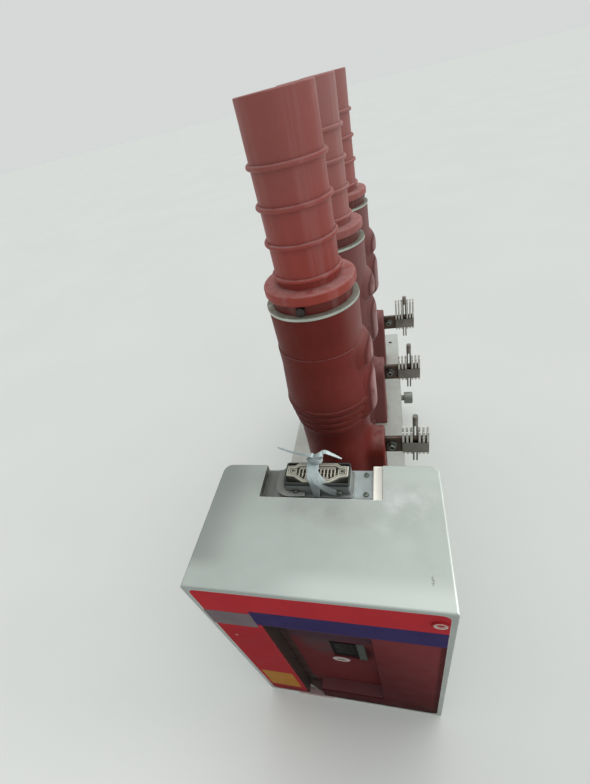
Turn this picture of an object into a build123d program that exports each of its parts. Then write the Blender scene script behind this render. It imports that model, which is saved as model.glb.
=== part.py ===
from build123d import *

import os

# Three-pole vacuum circuit breaker: a mechanism housing in front of a sheet-steel chassis that carries the poles.
os.makedirs("parts", exist_ok=True)

# All lengths are in millimetres. X points to the contact-arm side, Y from the front fascia to the rear, Z up.
# The origin is on the floor, under the middle of the whole breaker.

# Mechanism housing
housing_width = 370.0
housing_depth = 218.0
housing_height = 549.0
housing_corner_radius = 16.0
housing_edge_radius = 3.0

# Chassis behind the housing
chassis_length = 722.0
chassis_width = 274.0
chassis_height = 338.0
sheet = 4.0
chassis_flange = 38.0

# Fixing holes of the chassis
base_hole_radius = 5.5
base_hole_inset = 22.0
base_hole_end_distance = 60.0
top_hole_radius = 5.5
top_hole_inset = 25.0
top_hole_end_distance = 49.0

# Guide studs on the chassis sides
stud_neck_radius = 10.0
stud_neck_length = 14.0
stud_head_radius = 21.0
stud_head_length = 29.0
stud_edge = 2.0
stud_height = 98.0
stud_end_distance = 58.0

# Front fascia and the recess behind its opening
fascia_thickness = 2.0
fascia_border = 8.0
fascia_radius = 12.0
opening_left = -95.0
opening_right = 74.0
opening_bottom = 61.0
opening_top = 427.0
opening_radius = 5.0
slot_width = 38.0
recess_depth = 26.0
panel_thickness = 3.0
panel_clearance = 0.3
window_left = -8.0
window_right = 53.0
window_bottom = 228.0
window_top = 311.0
window_thickness = 4.0
tab_overlap = 23.0
tab_tail = 18.0
tab_depth = 13.0
tab_front_depth = 6.0
tab_lip = 2.5
tab_thickness = 2.0
plug_side_distance = 20.0
plug_top_distance = 37.0
plug_radius = 10.5
plug_height = 2.5
plug_well_radius = 6.0
plug_well_depth = 1.2

# Overall length, from the plug's face to the chassis rear, and the planes that follow from it
overall_length = plug_height + housing_depth + chassis_length
front_y = plug_height - overall_length / 2
housing_rear_y = front_y + housing_depth
chassis_rear_y = housing_rear_y + chassis_length

# Notch in the housing top with the control connector
notch_left = -103.0
notch_right = 98.0
notch_length = 67.0
notch_depth = 16.0
trim_width = 16.0
trim_height = 12.0
plate_left = -82.0
plate_thickness = 2.0
plate_gap = 1.5
connector_x = -6.5
connector_rear_distance = 30.5
hood_length = 108.0
hood_width = 43.0
hood_height = 24.0
hood_radius = 4.0
hood_wall = 2.5
seal_height = 7.0
insert_clearance = 0.3
insert_rise = 2.0
insert_chamfer_length = 17.0
insert_chamfer_width = 11.0
insert_rim = 6.0
insert_field_depth = 2.5
strap_x = -14.0
strap_width = 16.0
strap_thickness = 1.6
strap_clearance = 0.3

# Poles
pole_x = 10.0
pole_pitch = 230.0
pole_distance = 110.0
pole_names = ["front", "middle", "rear"]
barrel_foot_radius = 70.0
barrel_foot_height = 14.0
barrel_neck_radius = 64.0
barrel_shoulder_bottom = 572.0
barrel_shoulder_top = 640.0
barrel_belly_radius = 74.5
barrel_band_bottom = 708.0
barrel_band_top = 738.0
barrel_band_radius = 69.5
barrel_top = 806.0
barrel_top_radius = 68.0
barrel_rib_count = 4
barrel_rib_bottom = 583.0
barrel_rib_pitch = 16.0
barrel_rib_height = 3.0
barrel_rib_half_width = 6.0

# Sheds on the contact side of a barrel, turned about an axis that stands off the pole axis
shed_offset = 34.0
shed_root_radius = 33.5
shed_foot_radius = 30.0
shed_tip_radius = 47.5
upper_shed_top = 748.0
upper_shed_shoulder = 712.0
upper_shed_edge = 702.0
upper_shed_bottom = 688.0
lower_shed_top = 690.0
lower_shed_shoulder = 655.0
lower_shed_edge = 600.0
lower_shed_bottom = 576.0

# Lower terminal
terminal_z = 477.0
terminal_reach = 89.0
boss_radius = 37.0
boss_edge = 4.0
boss_root = 20.0
bar_height = 40.0
bar_thickness = 8.0
bar_length = 82.0
finger_width = 4.0
finger_pitch = 7.5
fingers_per_block = 3
finger_thickness = 3.0
finger_bottom = 456.0
finger_top = 516.0
rear_finger_top = 540.0
finger_flare = 2.0
finger_flare_height = 6.0
block_gap = 11.0
cluster_end_gap = 0.5
cage_bottom = 462.0
cage_height = 25.0
cage_wall = 3.0
prong_radius = 1.7
prong_offset = 3.2
prong_bottom = 428.0
knob_radius = 5.0
knob_bottom = 530.0
knob_top = 552.0

# Upper terminal
disc_radius = 69.5
disc_thickness = 4.0
disc_bore_radius = 30.0
tube_neck_radius = 60.0
tube_neck_height = 16.0
flange_radius = 67.3
flange_thickness = 15.5
flange_edge = 4.0
tube_radius = 46.0
tube_bore_radius = 39.0
tube_top = 1056.0
tube_rim = 1.5
bead_height = 4.6
bead_half_height = 3.0
bead_first_drop = 66.5
bead_pitch = 45.4
bead_count = 4
contact_foot_radius = 28.0
contact_foot_height = 14.0
contact_radius = 18.0
contact_top = 960.0
contact_chamfer = 4.0


def save(part, name):
    """Labels a finished piece and writes it as its own STEP file."""
    part.label = name
    export_step(part, f"parts/{name}.step")


# Mechanism housing, with the shallow seat of the fascia, the recess behind it and the notch at the rear of its top
housing_middle_y = front_y + housing_depth / 2
fascia_width = housing_width - 2 * fascia_border
fascia_height = housing_height - 2 * fascia_border
opening_width = opening_right - opening_left
opening_height = opening_top - opening_bottom
opening_x = (opening_left + opening_right) / 2
opening_z = (opening_bottom + opening_top) / 2
slot_x = opening_left + slot_width / 2
notch_width = notch_right - notch_left
notch_x = (notch_left + notch_right) / 2
notch_floor = housing_height - notch_depth
notch_y = housing_rear_y - notch_length / 2
facing_y = (0, 1, 0)
facing_x = (1, 0, 0)


def front_view(x, y, z):
    """Plane parallel to the fascia through a point, whose sketches are drawn as seen from behind and grow in +Y."""
    return Plane((x, y, z), x_dir=(-1, 0, 0), z_dir=facing_y)


with BuildPart() as mechanism_housing:
    with BuildSketch(Plane((0, housing_middle_y, 0))):
        Rectangle(housing_width, housing_depth)
    extrude(amount=housing_height)
    rear_corners = mechanism_housing.edges().filter_by(Axis.Z).group_by(Axis.Y)[-1]
    fillet(rear_corners, housing_corner_radius)
    fillet(mechanism_housing.faces().sort_by(Axis.Z)[-1].edges(), housing_edge_radius)
    with BuildSketch(front_view(0, front_y, housing_height / 2)):
        RectangleRounded(fascia_width, fascia_height, fascia_radius)
    extrude(amount=fascia_thickness, mode=Mode.SUBTRACT)
    with BuildSketch(front_view(opening_x, front_y, opening_z)):
        RectangleRounded(opening_width, opening_height, opening_radius)
    extrude(amount=recess_depth, mode=Mode.SUBTRACT)
    with BuildSketch(front_view(slot_x, front_y, opening_z / 2)):
        Rectangle(slot_width, opening_z)
    extrude(amount=recess_depth, mode=Mode.SUBTRACT)
    with BuildSketch(Plane((notch_x, notch_y, notch_floor))):
        Rectangle(notch_width, notch_length)
    extrude(amount=notch_depth, mode=Mode.SUBTRACT)
save(mechanism_housing.part, "mechanism_housing")

with BuildPart() as front_fascia:
    with BuildSketch(front_view(0, front_y, housing_height / 2)):
        RectangleRounded(fascia_width, fascia_height, fascia_radius)
    extrude(amount=fascia_thickness)
    with BuildSketch(front_view(opening_x, front_y, opening_z)):
        RectangleRounded(opening_width, opening_height, opening_radius)
    extrude(amount=fascia_thickness, mode=Mode.SUBTRACT)
    with BuildSketch(front_view(slot_x, front_y, opening_z / 2)):
        Rectangle(slot_width, opening_z)
    extrude(amount=fascia_thickness, mode=Mode.SUBTRACT)
save(front_fascia.part, "front_fascia")

# Control panel at the back of the recess, cut out for its window
panel_front_y = front_y + recess_depth - panel_thickness
window_x = (window_left + window_right) / 2
window_z = (window_bottom + window_top) / 2
window_size = (window_right - window_left, window_top - window_bottom)

with BuildPart() as control_panel:
    with BuildSketch(front_view(opening_x, panel_front_y, opening_z)):
        RectangleRounded(
            opening_width - 2 * panel_clearance, opening_height - 2 * panel_clearance, opening_radius
        )
    extrude(amount=panel_thickness)
    with BuildSketch(front_view(window_x, panel_front_y, window_z)):
        Rectangle(*window_size)
    extrude(amount=panel_thickness, mode=Mode.SUBTRACT)
save(control_panel.part, "control_panel")

with BuildPart() as indicator_window:
    with BuildSketch(front_view(window_x, panel_front_y + panel_thickness - window_thickness, window_z)):
        Rectangle(*window_size)
    extrude(amount=window_thickness)
save(indicator_window.part, "indicator_window")

# Bent corner tab at the foot of the slot, with a narrow lip along the outside of the fascia
with BuildPart() as corner_tab:
    with BuildSketch():
        with BuildLine():
            tab_left = opening_left + panel_clearance
            tab_right = opening_left + slot_width - panel_clearance
            Polyline(
                (tab_left, front_y + tab_depth),
                (tab_left, front_y),
                (opening_left - tab_overlap, front_y),
                (opening_left - tab_overlap, front_y - tab_lip),
                (tab_right + tab_tail, front_y - tab_lip),
                (tab_right + tab_tail, front_y),
                (tab_right, front_y),
                (tab_right, front_y + tab_front_depth),
                close=True,
            )
        make_face()
    extrude(amount=tab_thickness)
save(corner_tab.part, "corner_tab")

plug_x = housing_width / 2 - plug_side_distance
plug_z = housing_height - plug_top_distance
with BuildPart() as fascia_plug:
    with BuildSketch(front_view(plug_x, front_y - plug_height, plug_z)):
        Circle(plug_radius)
    extrude(amount=plug_height)
    with BuildSketch(front_view(plug_x, front_y - plug_height, plug_z)):
        Circle(plug_well_radius)
    extrude(amount=plug_well_depth, mode=Mode.SUBTRACT)
save(fascia_plug.part, "fascia_plug")

# Control connector on its plate in the notch
plate_right = notch_right - trim_width
plate_x = (plate_left + plate_right) / 2
plate_top = notch_floor + plate_thickness
connector_y = housing_rear_y - connector_rear_distance
hood_top = plate_top + hood_height
seal_top = hood_top + seal_height

with BuildPart() as connector_plate:
    with BuildSketch(Plane((plate_x, notch_y, notch_floor))):
        Rectangle(plate_right - plate_left, notch_length - 2 * plate_gap)
    extrude(amount=plate_thickness)
save(connector_plate.part, "connector_plate")

with BuildPart() as notch_trim:
    with BuildSketch(Plane((notch_right - trim_width / 2, notch_y, notch_floor))):
        Rectangle(trim_width, notch_length)
    extrude(amount=trim_height)
    fillet(notch_trim.faces().sort_by(Axis.Z)[-1].edges().filter_by(Axis.Y), sheet / 2)
save(notch_trim.part, "notch_trim")

hood_inner = (hood_length - 2 * hood_wall, hood_width - 2 * hood_wall)
with BuildPart() as connector_hood:
    with BuildSketch(Plane((connector_x, connector_y, plate_top))):
        RectangleRounded(hood_length, hood_width, hood_radius)
        Rectangle(*hood_inner, mode=Mode.SUBTRACT)
    extrude(amount=hood_height)
save(connector_hood.part, "connector_hood")

with BuildPart() as connector_seal:
    with BuildSketch(Plane((connector_x, connector_y, hood_top))):
        RectangleRounded(hood_length, hood_width, hood_radius)
        Rectangle(*hood_inner, mode=Mode.SUBTRACT)
    extrude(amount=seal_height)
    fillet(connector_seal.faces().sort_by(Axis.Z)[-1].edges(), hood_wall / 4)
save(connector_seal.part, "connector_seal")

insert_length = hood_inner[0] - 2 * insert_clearance
insert_width = hood_inner[1] - 2 * insert_clearance
insert_height = hood_height + seal_height + insert_rise
with BuildPart() as connector_insert:
    with BuildSketch(Plane((connector_x, connector_y, plate_top))):
        Rectangle(insert_length, insert_width)
    extrude(amount=insert_height)
    for end in (-1, 1):
        end_face = connector_insert.faces().sort_by(Axis.X)[0 if end < 0 else -1]
        chamfer(end_face.edges().filter_by(Axis.Z), insert_chamfer_width, insert_chamfer_length, reference=end_face)
    with BuildSketch(Plane((connector_x, connector_y, plate_top + insert_height))):
        Rectangle(insert_length - 2 * insert_rim, insert_width - 2 * insert_rim)
    extrude(amount=-insert_field_depth, mode=Mode.SUBTRACT)
save(connector_insert.part, "connector_insert")

# Flat strap tied over the connector
strap_inner_width = hood_width + 2 * strap_clearance
strap_inner_height = insert_height + strap_clearance
strap_plane = Plane((strap_x - strap_width / 2, connector_y, plate_top), x_dir=facing_y, z_dir=facing_x)
with BuildPart() as strap_tie:
    with BuildSketch(strap_plane):
        with Locations((0, (strap_inner_height + strap_thickness) / 2)):
            Rectangle(strap_inner_width + 2 * strap_thickness, strap_inner_height + strap_thickness)
        with Locations((0, strap_inner_height / 2)):
            Rectangle(strap_inner_width, strap_inner_height, mode=Mode.SUBTRACT)
    extrude(amount=strap_width)
save(strap_tie.part, "strap_tie")

# Chassis: folded side plates, top plate and rear plate
chassis_middle_y = (housing_rear_y + chassis_rear_y) / 2
side_height = chassis_height - sheet


def chassis_side(side):
    """Side plate with an inward floor flange and its two fixing holes, on the +X side for 1 and the -X side for -1."""
    outer_x = side * chassis_width / 2
    hole_x = side * (chassis_width / 2 - base_hole_inset)
    with BuildPart() as plate:
        with BuildSketch(Plane.XZ.offset(-housing_rear_y)):
            with Locations((outer_x - side * sheet / 2, side_height / 2)):
                Rectangle(sheet, side_height)
            with Locations((outer_x - side * chassis_flange / 2, sheet / 2)):
                Rectangle(chassis_flange, sheet)
        extrude(amount=-chassis_length)
        fold = plate.edges().filter_by(Axis.Y).sort_by_distance((outer_x, chassis_middle_y, 0))[0]
        fillet(fold, sheet / 2)
        with Locations(
            (hole_x, housing_rear_y + base_hole_end_distance, sheet),
            (hole_x, chassis_rear_y - base_hole_end_distance, sheet),
        ):
            Hole(base_hole_radius, depth=sheet)
    return plate.part


save(chassis_side(1), "chassis_side_right")
save(chassis_side(-1), "chassis_side_left")

top_hole_x = chassis_width / 2 - top_hole_inset
top_hole_y = chassis_length / 2 - top_hole_end_distance
with BuildPart() as chassis_top:
    with BuildSketch(Plane((0, chassis_middle_y, side_height))):
        Rectangle(chassis_width, chassis_length)
        with GridLocations(2 * top_hole_x, 2 * top_hole_y, 2, 2):
            Circle(top_hole_radius, mode=Mode.SUBTRACT)
    extrude(amount=sheet)
save(chassis_top.part, "chassis_top")

with BuildPart() as chassis_rear:
    with BuildSketch(Plane((0, chassis_rear_y - sheet / 2, sheet))):
        Rectangle(chassis_width - 2 * sheet, sheet)
    extrude(amount=side_height - sheet)
save(chassis_rear.part, "chassis_rear")


def guide_studs(side):
    """Front and rear stepped studs that stand out of one chassis side."""
    with BuildPart() as studs:
        for stud_y in (housing_rear_y + stud_end_distance, chassis_rear_y - stud_end_distance):
            neck_x = side * chassis_width / 2
            head_x = neck_x + side * stud_neck_length
            with BuildSketch(Plane((neck_x, stud_y, stud_height), x_dir=facing_y, z_dir=(side, 0, 0))):
                Circle(stud_neck_radius)
            extrude(amount=stud_neck_length)
            with BuildSketch(Plane((head_x, stud_y, stud_height), x_dir=facing_y, z_dir=(side, 0, 0))):
                Circle(stud_head_radius)
            extrude(amount=stud_head_length)
        ends = studs.faces().group_by(Axis.X)[-1 if side > 0 else 0]
        chamfer(ends.edges(), stud_edge)
    return studs.part


save(guide_studs(1), "guide_studs_right")
save(guide_studs(-1), "guide_studs_left")


def turned(profile, axis_x, axis_y):
    """Solid of revolution about the vertical line at axis_x, axis_y, from (radius, height) points."""
    with BuildPart() as solid:
        with BuildSketch(Plane.XZ):
            with BuildLine():
                Polyline(*profile, close=True)
            make_face()
        revolve(axis=Axis.Z)
    return Pos(axis_x, axis_y, 0) * solid.part


def arc_radius(half_width, height):
    """Radius of the arc that rises by height over a chord of twice half_width."""
    return (half_width**2 + height**2) / (2 * height)


def barrel_body(pole_y):
    """Turned body of a barrel: neck, shoulder with rounded ribs, belly and the stepped upper part."""
    slope = (barrel_belly_radius - barrel_neck_radius) / (barrel_shoulder_top - barrel_shoulder_bottom)
    rib_round = arc_radius(barrel_rib_half_width, barrel_rib_height)
    with BuildPart() as body:
        with BuildSketch(Plane.XZ):
            with BuildLine():
                Polyline(
                    (0, chassis_height),
                    (barrel_neck_radius, chassis_height),
                    (barrel_neck_radius, barrel_shoulder_bottom),
                    (barrel_belly_radius, barrel_shoulder_top),
                    (barrel_band_radius, barrel_band_bottom),
                    (barrel_band_radius, barrel_band_top),
                    (barrel_top_radius, barrel_band_top),
                    (barrel_top_radius, barrel_top),
                    (0, barrel_top),
                    close=True,
                )
            make_face()
            for index in range(barrel_rib_count):
                rib_z = barrel_rib_bottom + index * barrel_rib_pitch
                rib_radius = barrel_neck_radius + slope * (rib_z - barrel_shoulder_bottom)
                with Locations((rib_radius + barrel_rib_height - rib_round, rib_z)):
                    Circle(rib_round)
        revolve(axis=Axis.Z)
    return Pos(pole_x, pole_y, 0) * body.part


def shed(pole_y, top, shoulder, edge, bottom):
    """Rounded bulge turned about a line that stands off the pole axis, so that it fades into the barrel."""
    with BuildPart() as bulge:
        with BuildSketch(Plane.XZ):
            with BuildLine():
                Line((shed_tip_radius, shoulder), (shed_tip_radius, edge))
                TangentArc((shed_tip_radius, edge), (shed_foot_radius, bottom), tangent=(0, -1))
                Polyline((shed_foot_radius, bottom), (0, bottom), (0, top), (shed_root_radius, top))
                TangentArc((shed_tip_radius, shoulder), (shed_root_radius, top), tangent=(0, 1))
            make_face()
        revolve(axis=Axis.Z)
    return Pos(pole_x + shed_offset, pole_y, 0) * bulge.part


def barrel(pole_y):
    """Lower resin body on the chassis, with its two sheds and the arched boss that carries the terminal bar."""
    body = barrel_body(pole_y)
    upper_shed = shed(pole_y, upper_shed_top, upper_shed_shoulder, upper_shed_edge, upper_shed_bottom)
    lower_shed = shed(pole_y, lower_shed_top, lower_shed_shoulder, lower_shed_edge, lower_shed_bottom)
    with BuildPart() as whole:
        add(body)
        add(upper_shed)
        add(lower_shed)
        with BuildSketch(Plane((pole_x, pole_y, 0), x_dir=facing_y, z_dir=facing_x)):
            with Locations((0, (chassis_height + terminal_z) / 2)):
                Rectangle(2 * boss_radius, terminal_z - chassis_height)
            with Locations((0, terminal_z)):
                Circle(boss_radius)
        extrude(amount=terminal_reach)
        arch = whole.faces().sort_by(Axis.X)[-1].edges().sort_by(Axis.Z)[1:]
        fillet(arch, boss_edge)
        roots = whole.edges().filter_by_position(Axis.X, pole_x + boss_radius, pole_x + barrel_neck_radius + 1)
        roots = roots.filter_by_position(Axis.Z, chassis_height, terminal_z + boss_radius + 1)
        fillet(roots, boss_root)
        with BuildSketch(Plane((pole_x, pole_y, chassis_height))):
            Circle(barrel_foot_radius)
        extrude(amount=barrel_foot_height)
    return whole.part


flange_bottom = barrel_top + disc_thickness + tube_neck_height
flange_top = flange_bottom + flange_thickness


def tube_flange(pole_y):
    """Thick resin ring on a short neck under the upper tube."""
    with BuildPart() as ring:
        with BuildSketch(Plane((pole_x, pole_y, flange_bottom))):
            Circle(flange_radius)
        extrude(amount=flange_thickness)
        fillet(ring.edges(), flange_edge)
        with BuildSketch(Plane((pole_x, pole_y, flange_bottom))):
            Circle(tube_neck_radius)
        extrude(amount=-tube_neck_height)
        with BuildSketch(Plane((pole_x, pole_y, flange_top))):
            Circle(tube_bore_radius)
        extrude(amount=-(flange_thickness + tube_neck_height), mode=Mode.SUBTRACT)
    return ring.part


def upper_tube(pole_y):
    """Open resin tube with rounded beads round its outside."""
    tube_height = tube_top - flange_top
    bead_round = arc_radius(bead_half_height, bead_height)
    with BuildPart() as tube:
        with BuildSketch(Plane.XZ):
            with Locations(((tube_bore_radius + tube_radius) / 2, flange_top + tube_height / 2)):
                Rectangle(tube_radius - tube_bore_radius, tube_height)
            for index in range(bead_count):
                with Locations((tube_radius + bead_height - bead_round, tube_top - bead_first_drop - index * bead_pitch)):
                    Circle(bead_round)
        revolve(axis=Axis.Z)
        fillet(tube.faces().sort_by(Axis.Z)[-1].edges(), tube_rim)
    return Pos(pole_x, pole_y, 0) * tube.part


def clamp_disc(pole_y):
    """Plated disc between the barrel and the flange, bored for the foot of the contact."""
    with BuildPart() as disc:
        with BuildSketch(Plane((pole_x, pole_y, barrel_top))):
            Circle(disc_radius)
            Circle(disc_bore_radius, mode=Mode.SUBTRACT)
        extrude(amount=disc_thickness)
    return disc.part


def upper_contact(pole_y):
    """Round contact that stands on the barrel inside the upper tube."""
    return turned(
        [
            (0, barrel_top),
            (contact_foot_radius, barrel_top),
            (contact_foot_radius, barrel_top + contact_foot_height),
            (contact_radius, barrel_top + contact_foot_height),
            (contact_radius, contact_top - contact_chamfer),
            (contact_radius - contact_chamfer, contact_top),
            (0, contact_top),
        ],
        pole_x,
        pole_y,
    )


bar_start_x = pole_x + terminal_reach
bar_end_x = bar_start_x + bar_length
bar_top = terminal_z + bar_height / 2
bar_bottom = terminal_z - bar_height / 2
block_length = (fingers_per_block - 1) * finger_pitch + finger_width
cluster_length = 2 * block_length + block_gap
cluster_start_x = bar_end_x - cluster_end_gap - cluster_length
cluster_x = cluster_start_x + cluster_length / 2


def terminal_bar(pole_y):
    """Flat bar on edge, from the boss face outwards."""
    with BuildPart() as bar:
        with BuildSketch(Plane((bar_start_x, pole_y, terminal_z), x_dir=facing_y, z_dir=facing_x)):
            RectangleRounded(bar_thickness, bar_height, bar_thickness / 5)
        extrude(amount=bar_length)
    return bar.part


def contact_fingers(pole_y, top):
    """Two facing rows of upright fingers on the bar, in two blocks with a gap for the spring pin."""
    inner = bar_thickness / 2
    outer = inner + finger_thickness
    with BuildPart() as fingers:
        for block in range(2):
            for index in range(fingers_per_block):
                start_x = cluster_start_x + block * (block_length + block_gap) + index * finger_pitch
                for row in (-1, 1):
                    with BuildSketch(Plane((start_x, pole_y, 0), x_dir=facing_y, z_dir=facing_x)):
                        with BuildLine():
                            Polyline(
                                (row * inner, finger_bottom + finger_flare_height),
                                (row * (inner + finger_flare), finger_bottom),
                                (row * (outer + finger_flare), finger_bottom),
                                (row * outer, finger_bottom + finger_flare_height),
                                (row * outer, top - finger_flare_height),
                                (row * (outer + finger_flare), top),
                                (row * (inner + finger_flare), top),
                                (row * inner, top - finger_flare_height),
                                close=True,
                            )
                        make_face()
                    extrude(amount=finger_width)
    return fingers.part


pole_positions = [housing_rear_y + pole_distance + number * pole_pitch for number in range(len(pole_names))]
finger_tops = [finger_top, finger_top, rear_finger_top]
for name, pole_y, top in zip(pole_names, pole_positions, finger_tops):
    save(barrel(pole_y), f"barrel_{name}")
    save(clamp_disc(pole_y), f"clamp_disc_{name}")
    save(tube_flange(pole_y), f"tube_flange_{name}")
    save(upper_tube(pole_y), f"upper_tube_{name}")
    save(upper_contact(pole_y), f"upper_contact_{name}")
    save(terminal_bar(pole_y), f"terminal_bar_{name}")
    save(contact_fingers(pole_y, top), f"contact_fingers_{name}")

# Spring bands, one along the outside of each row of fingers
band_y = bar_thickness / 2 + finger_thickness + cage_wall / 2
with BuildPart() as finger_cages:
    for pole_y in pole_positions:
        with BuildSketch(Plane((cluster_x, pole_y, cage_bottom))):
            with Locations((0, -band_y), (0, band_y)):
                Rectangle(cluster_length, cage_wall)
        extrude(amount=cage_height)
save(finger_cages.part, "finger_cages")

# Spring pins, two prongs with a knob above each bar and their tails below it
with BuildPart() as spring_pins:
    for pole_y in pole_positions:
        with BuildSketch(Plane((cluster_x, pole_y, bar_top))):
            with Locations((-prong_offset, 0), (prong_offset, 0)):
                Circle(prong_radius)
        extrude(amount=knob_bottom - bar_top)
        with BuildSketch(Plane((cluster_x, pole_y, knob_bottom))):
            Circle(knob_radius)
        extrude(amount=knob_top - knob_bottom)
        with BuildSketch(Plane((cluster_x, pole_y, prong_bottom))):
            with Locations((-prong_offset, 0), (prong_offset, 0)):
                Circle(prong_radius)
        extrude(amount=bar_bottom - prong_bottom)
save(spring_pins.part, "spring_pins")
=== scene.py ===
"""Looks of the vacuum circuit breaker: its finishes and small fittings, the camera and the light."""
import math

import bpy
import numpy as np
from bpy.props import FloatProperty, FloatVectorProperty, IntProperty, PointerProperty
from bpy.types import Operator, Panel, PropertyGroup
from mathutils import Matrix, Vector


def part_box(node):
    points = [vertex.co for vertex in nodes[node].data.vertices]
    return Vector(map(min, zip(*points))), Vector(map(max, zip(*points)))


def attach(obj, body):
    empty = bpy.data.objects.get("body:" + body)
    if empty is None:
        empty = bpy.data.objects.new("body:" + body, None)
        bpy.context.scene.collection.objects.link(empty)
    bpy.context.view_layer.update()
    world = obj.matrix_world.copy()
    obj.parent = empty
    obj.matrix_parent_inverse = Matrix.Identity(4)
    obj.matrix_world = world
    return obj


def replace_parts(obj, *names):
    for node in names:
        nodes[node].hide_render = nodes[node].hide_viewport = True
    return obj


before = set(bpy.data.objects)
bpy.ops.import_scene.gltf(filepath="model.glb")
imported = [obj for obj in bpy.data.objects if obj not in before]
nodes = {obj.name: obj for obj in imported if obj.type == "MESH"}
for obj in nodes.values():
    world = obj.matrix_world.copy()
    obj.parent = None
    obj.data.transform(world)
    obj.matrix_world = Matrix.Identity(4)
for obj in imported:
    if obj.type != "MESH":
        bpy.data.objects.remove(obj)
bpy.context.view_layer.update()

bl_info = {
    "name": "Vacuum circuit breaker",
    "version": (1, 0, 0),
    "blender": (4, 5, 0),
    "location": "View3D > Sidebar > Breaker",
    "description": "Finishes and small fittings of a vacuum circuit breaker on its packed frame",
    "category": "Object",
}

front_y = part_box("front_fascia")[0].y
housing_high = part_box("mechanism_housing")[1]
insert_low, insert_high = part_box("connector_insert")
hood_low, hood_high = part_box("connector_hood")
plate_low, plate_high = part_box("connector_plate")
window_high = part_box("indicator_window")[1]
panel_low, panel_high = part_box("control_panel")
poles = ("front", "middle", "rear")
tube_low, tube_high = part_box("upper_tube_front")
pole_x, first_pole_y = (tube_low.x + tube_high.x) / 2, (tube_low.y + tube_high.y) / 2
pole_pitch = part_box("upper_tube_middle")[0].y - tube_low.y
flange_low, flange_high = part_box("tube_flange_front")
barrel_reach = pole_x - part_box("barrel_front")[0].x
shed_foot = 0.560
notch_left = -0.103
recess_left, lining_edge, recess_right, recess_top = -0.095, -0.077, 0.074, 0.427


def tone(red, green, blue):
    """Linear colour of a screen colour given from 0 to 255."""
    share = np.array([red, green, blue]) / 255
    linear = np.where(share <= 0.04045, share / 12.92, ((share + 0.055) / 1.055) ** 2.4)
    return tuple(float(value) for value in linear)


# Settings


def colour(name, description, default):
    return FloatVectorProperty(
        name=name, description=description, default=default, size=3, min=0.0, max=1.0, subtype="COLOR"
    )


def length(name, description, default):
    return FloatProperty(
        name=name, description=description, default=default, min=0.0, precision=4, unit="LENGTH", subtype="DISTANCE"
    )


class PaintSettings(PropertyGroup):
    """Colours of the painted sheet and of the front."""

    housing: colour("Housing", "Light grey powder coat of the mechanism housing", tone(154, 161, 156))
    sheet: colour("Chassis", "Light grey paint of the chassis sheets", tone(190, 195, 189))
    trim: colour("Trim", "Cream strip beside the connector plate", tone(238, 236, 226))
    red: colour("Front red", "Red of the front above and left of its opening", tone(180, 52, 59))
    maroon: colour("Front maroon", "Darker red right of and below the opening", tone(96, 44, 46))
    stripe: colour("Stripe", "Blue stripe over the opening", tone(58, 50, 91))
    patch: colour("Patch", "Bare grey patch at the left of the stripe", tone(112, 100, 104))
    # Grey green of the recess's left side, darkened as painted shade.
    lining_with_shade: colour("Lining", "Grey green lining at the left of the recess", tone(62, 52, 48))


class ResinSettings(PropertyGroup):
    """Colours of the cast resin."""

    tube: colour("Tubes", "Red brown of the upper tubes and their flanges", tone(151, 60, 51))
    # The barrels' red brown is darker than the tubes' as painted shade.
    barrel: colour("Barrels", "Darker red brown of the lower barrels", tone(104, 38, 33))
    dust: colour("Dust", "Pale dust that lies on the resin", tone(192, 160, 158))


class MetalSettings(PropertyGroup):
    """Colours of the bare and plated metal and of the plastics."""

    zinc: colour("Zinc", "Zinc plated steel", tone(146, 150, 146))
    casting: colour("Casting", "Grey die-cast connector base", tone(132, 136, 134))
    silver: colour("Silver", "Silver plated fingers and contacts", tone(212, 212, 204))
    copper: colour("Bars", "Dulled copper of the terminal bars", tone(104, 92, 82))
    spring: colour("Springs", "Dark spring steel", tone(132, 128, 120))
    insert: colour("Insert", "Cream plastic of the connector insert", tone(178, 176, 162))
    rubber: colour("Seal", "Dark rubber of the connector seal", tone(64, 68, 66))
    strap: colour("Strap", "Pale blue grey plastic of the strap", tone(168, 180, 181))


class ConnectorSettings(PropertyGroup):
    """Sizes of the connector's face and of the lever, and the thickness of the strap."""

    ways: IntProperty(name="Ways in a row", description="Sockets in each of the two rows", default=12, min=1)
    pitch: length("Pitch", "Distance from one socket to the next", 0.0059)
    rows: length("Row distance", "Distance between the two rows of sockets", 0.0074)
    rim: length("Rim", "Width of the insert's rim", 0.0055)
    lever: FloatProperty(name="Lever width", description="Width of the lever's arms, as a share", default=1.0, min=0.1)
    strap_thickness: length("Strap thickness", "Thickness of the strap", 0.0014)


class StageSettings(PropertyGroup):
    """Camera and light."""

    lens: FloatProperty(name="Lens", description="Focal length on a sensor 36 mm high", default=17.278, unit="CAMERA")
    sky: FloatProperty(name="Sky", description="Strength of the even light from all round", default=0.69)
    key: FloatProperty(name="Key", description="Strength of the wide soft sun from behind the right", default=0.45)
    side: FloatProperty(name="Side", description="Power of the light right of the housing", default=0.72, unit="POWER")
    floor: colour("Floor", "Pale plain floor", tone(219, 220, 218))


# Finishes


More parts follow.
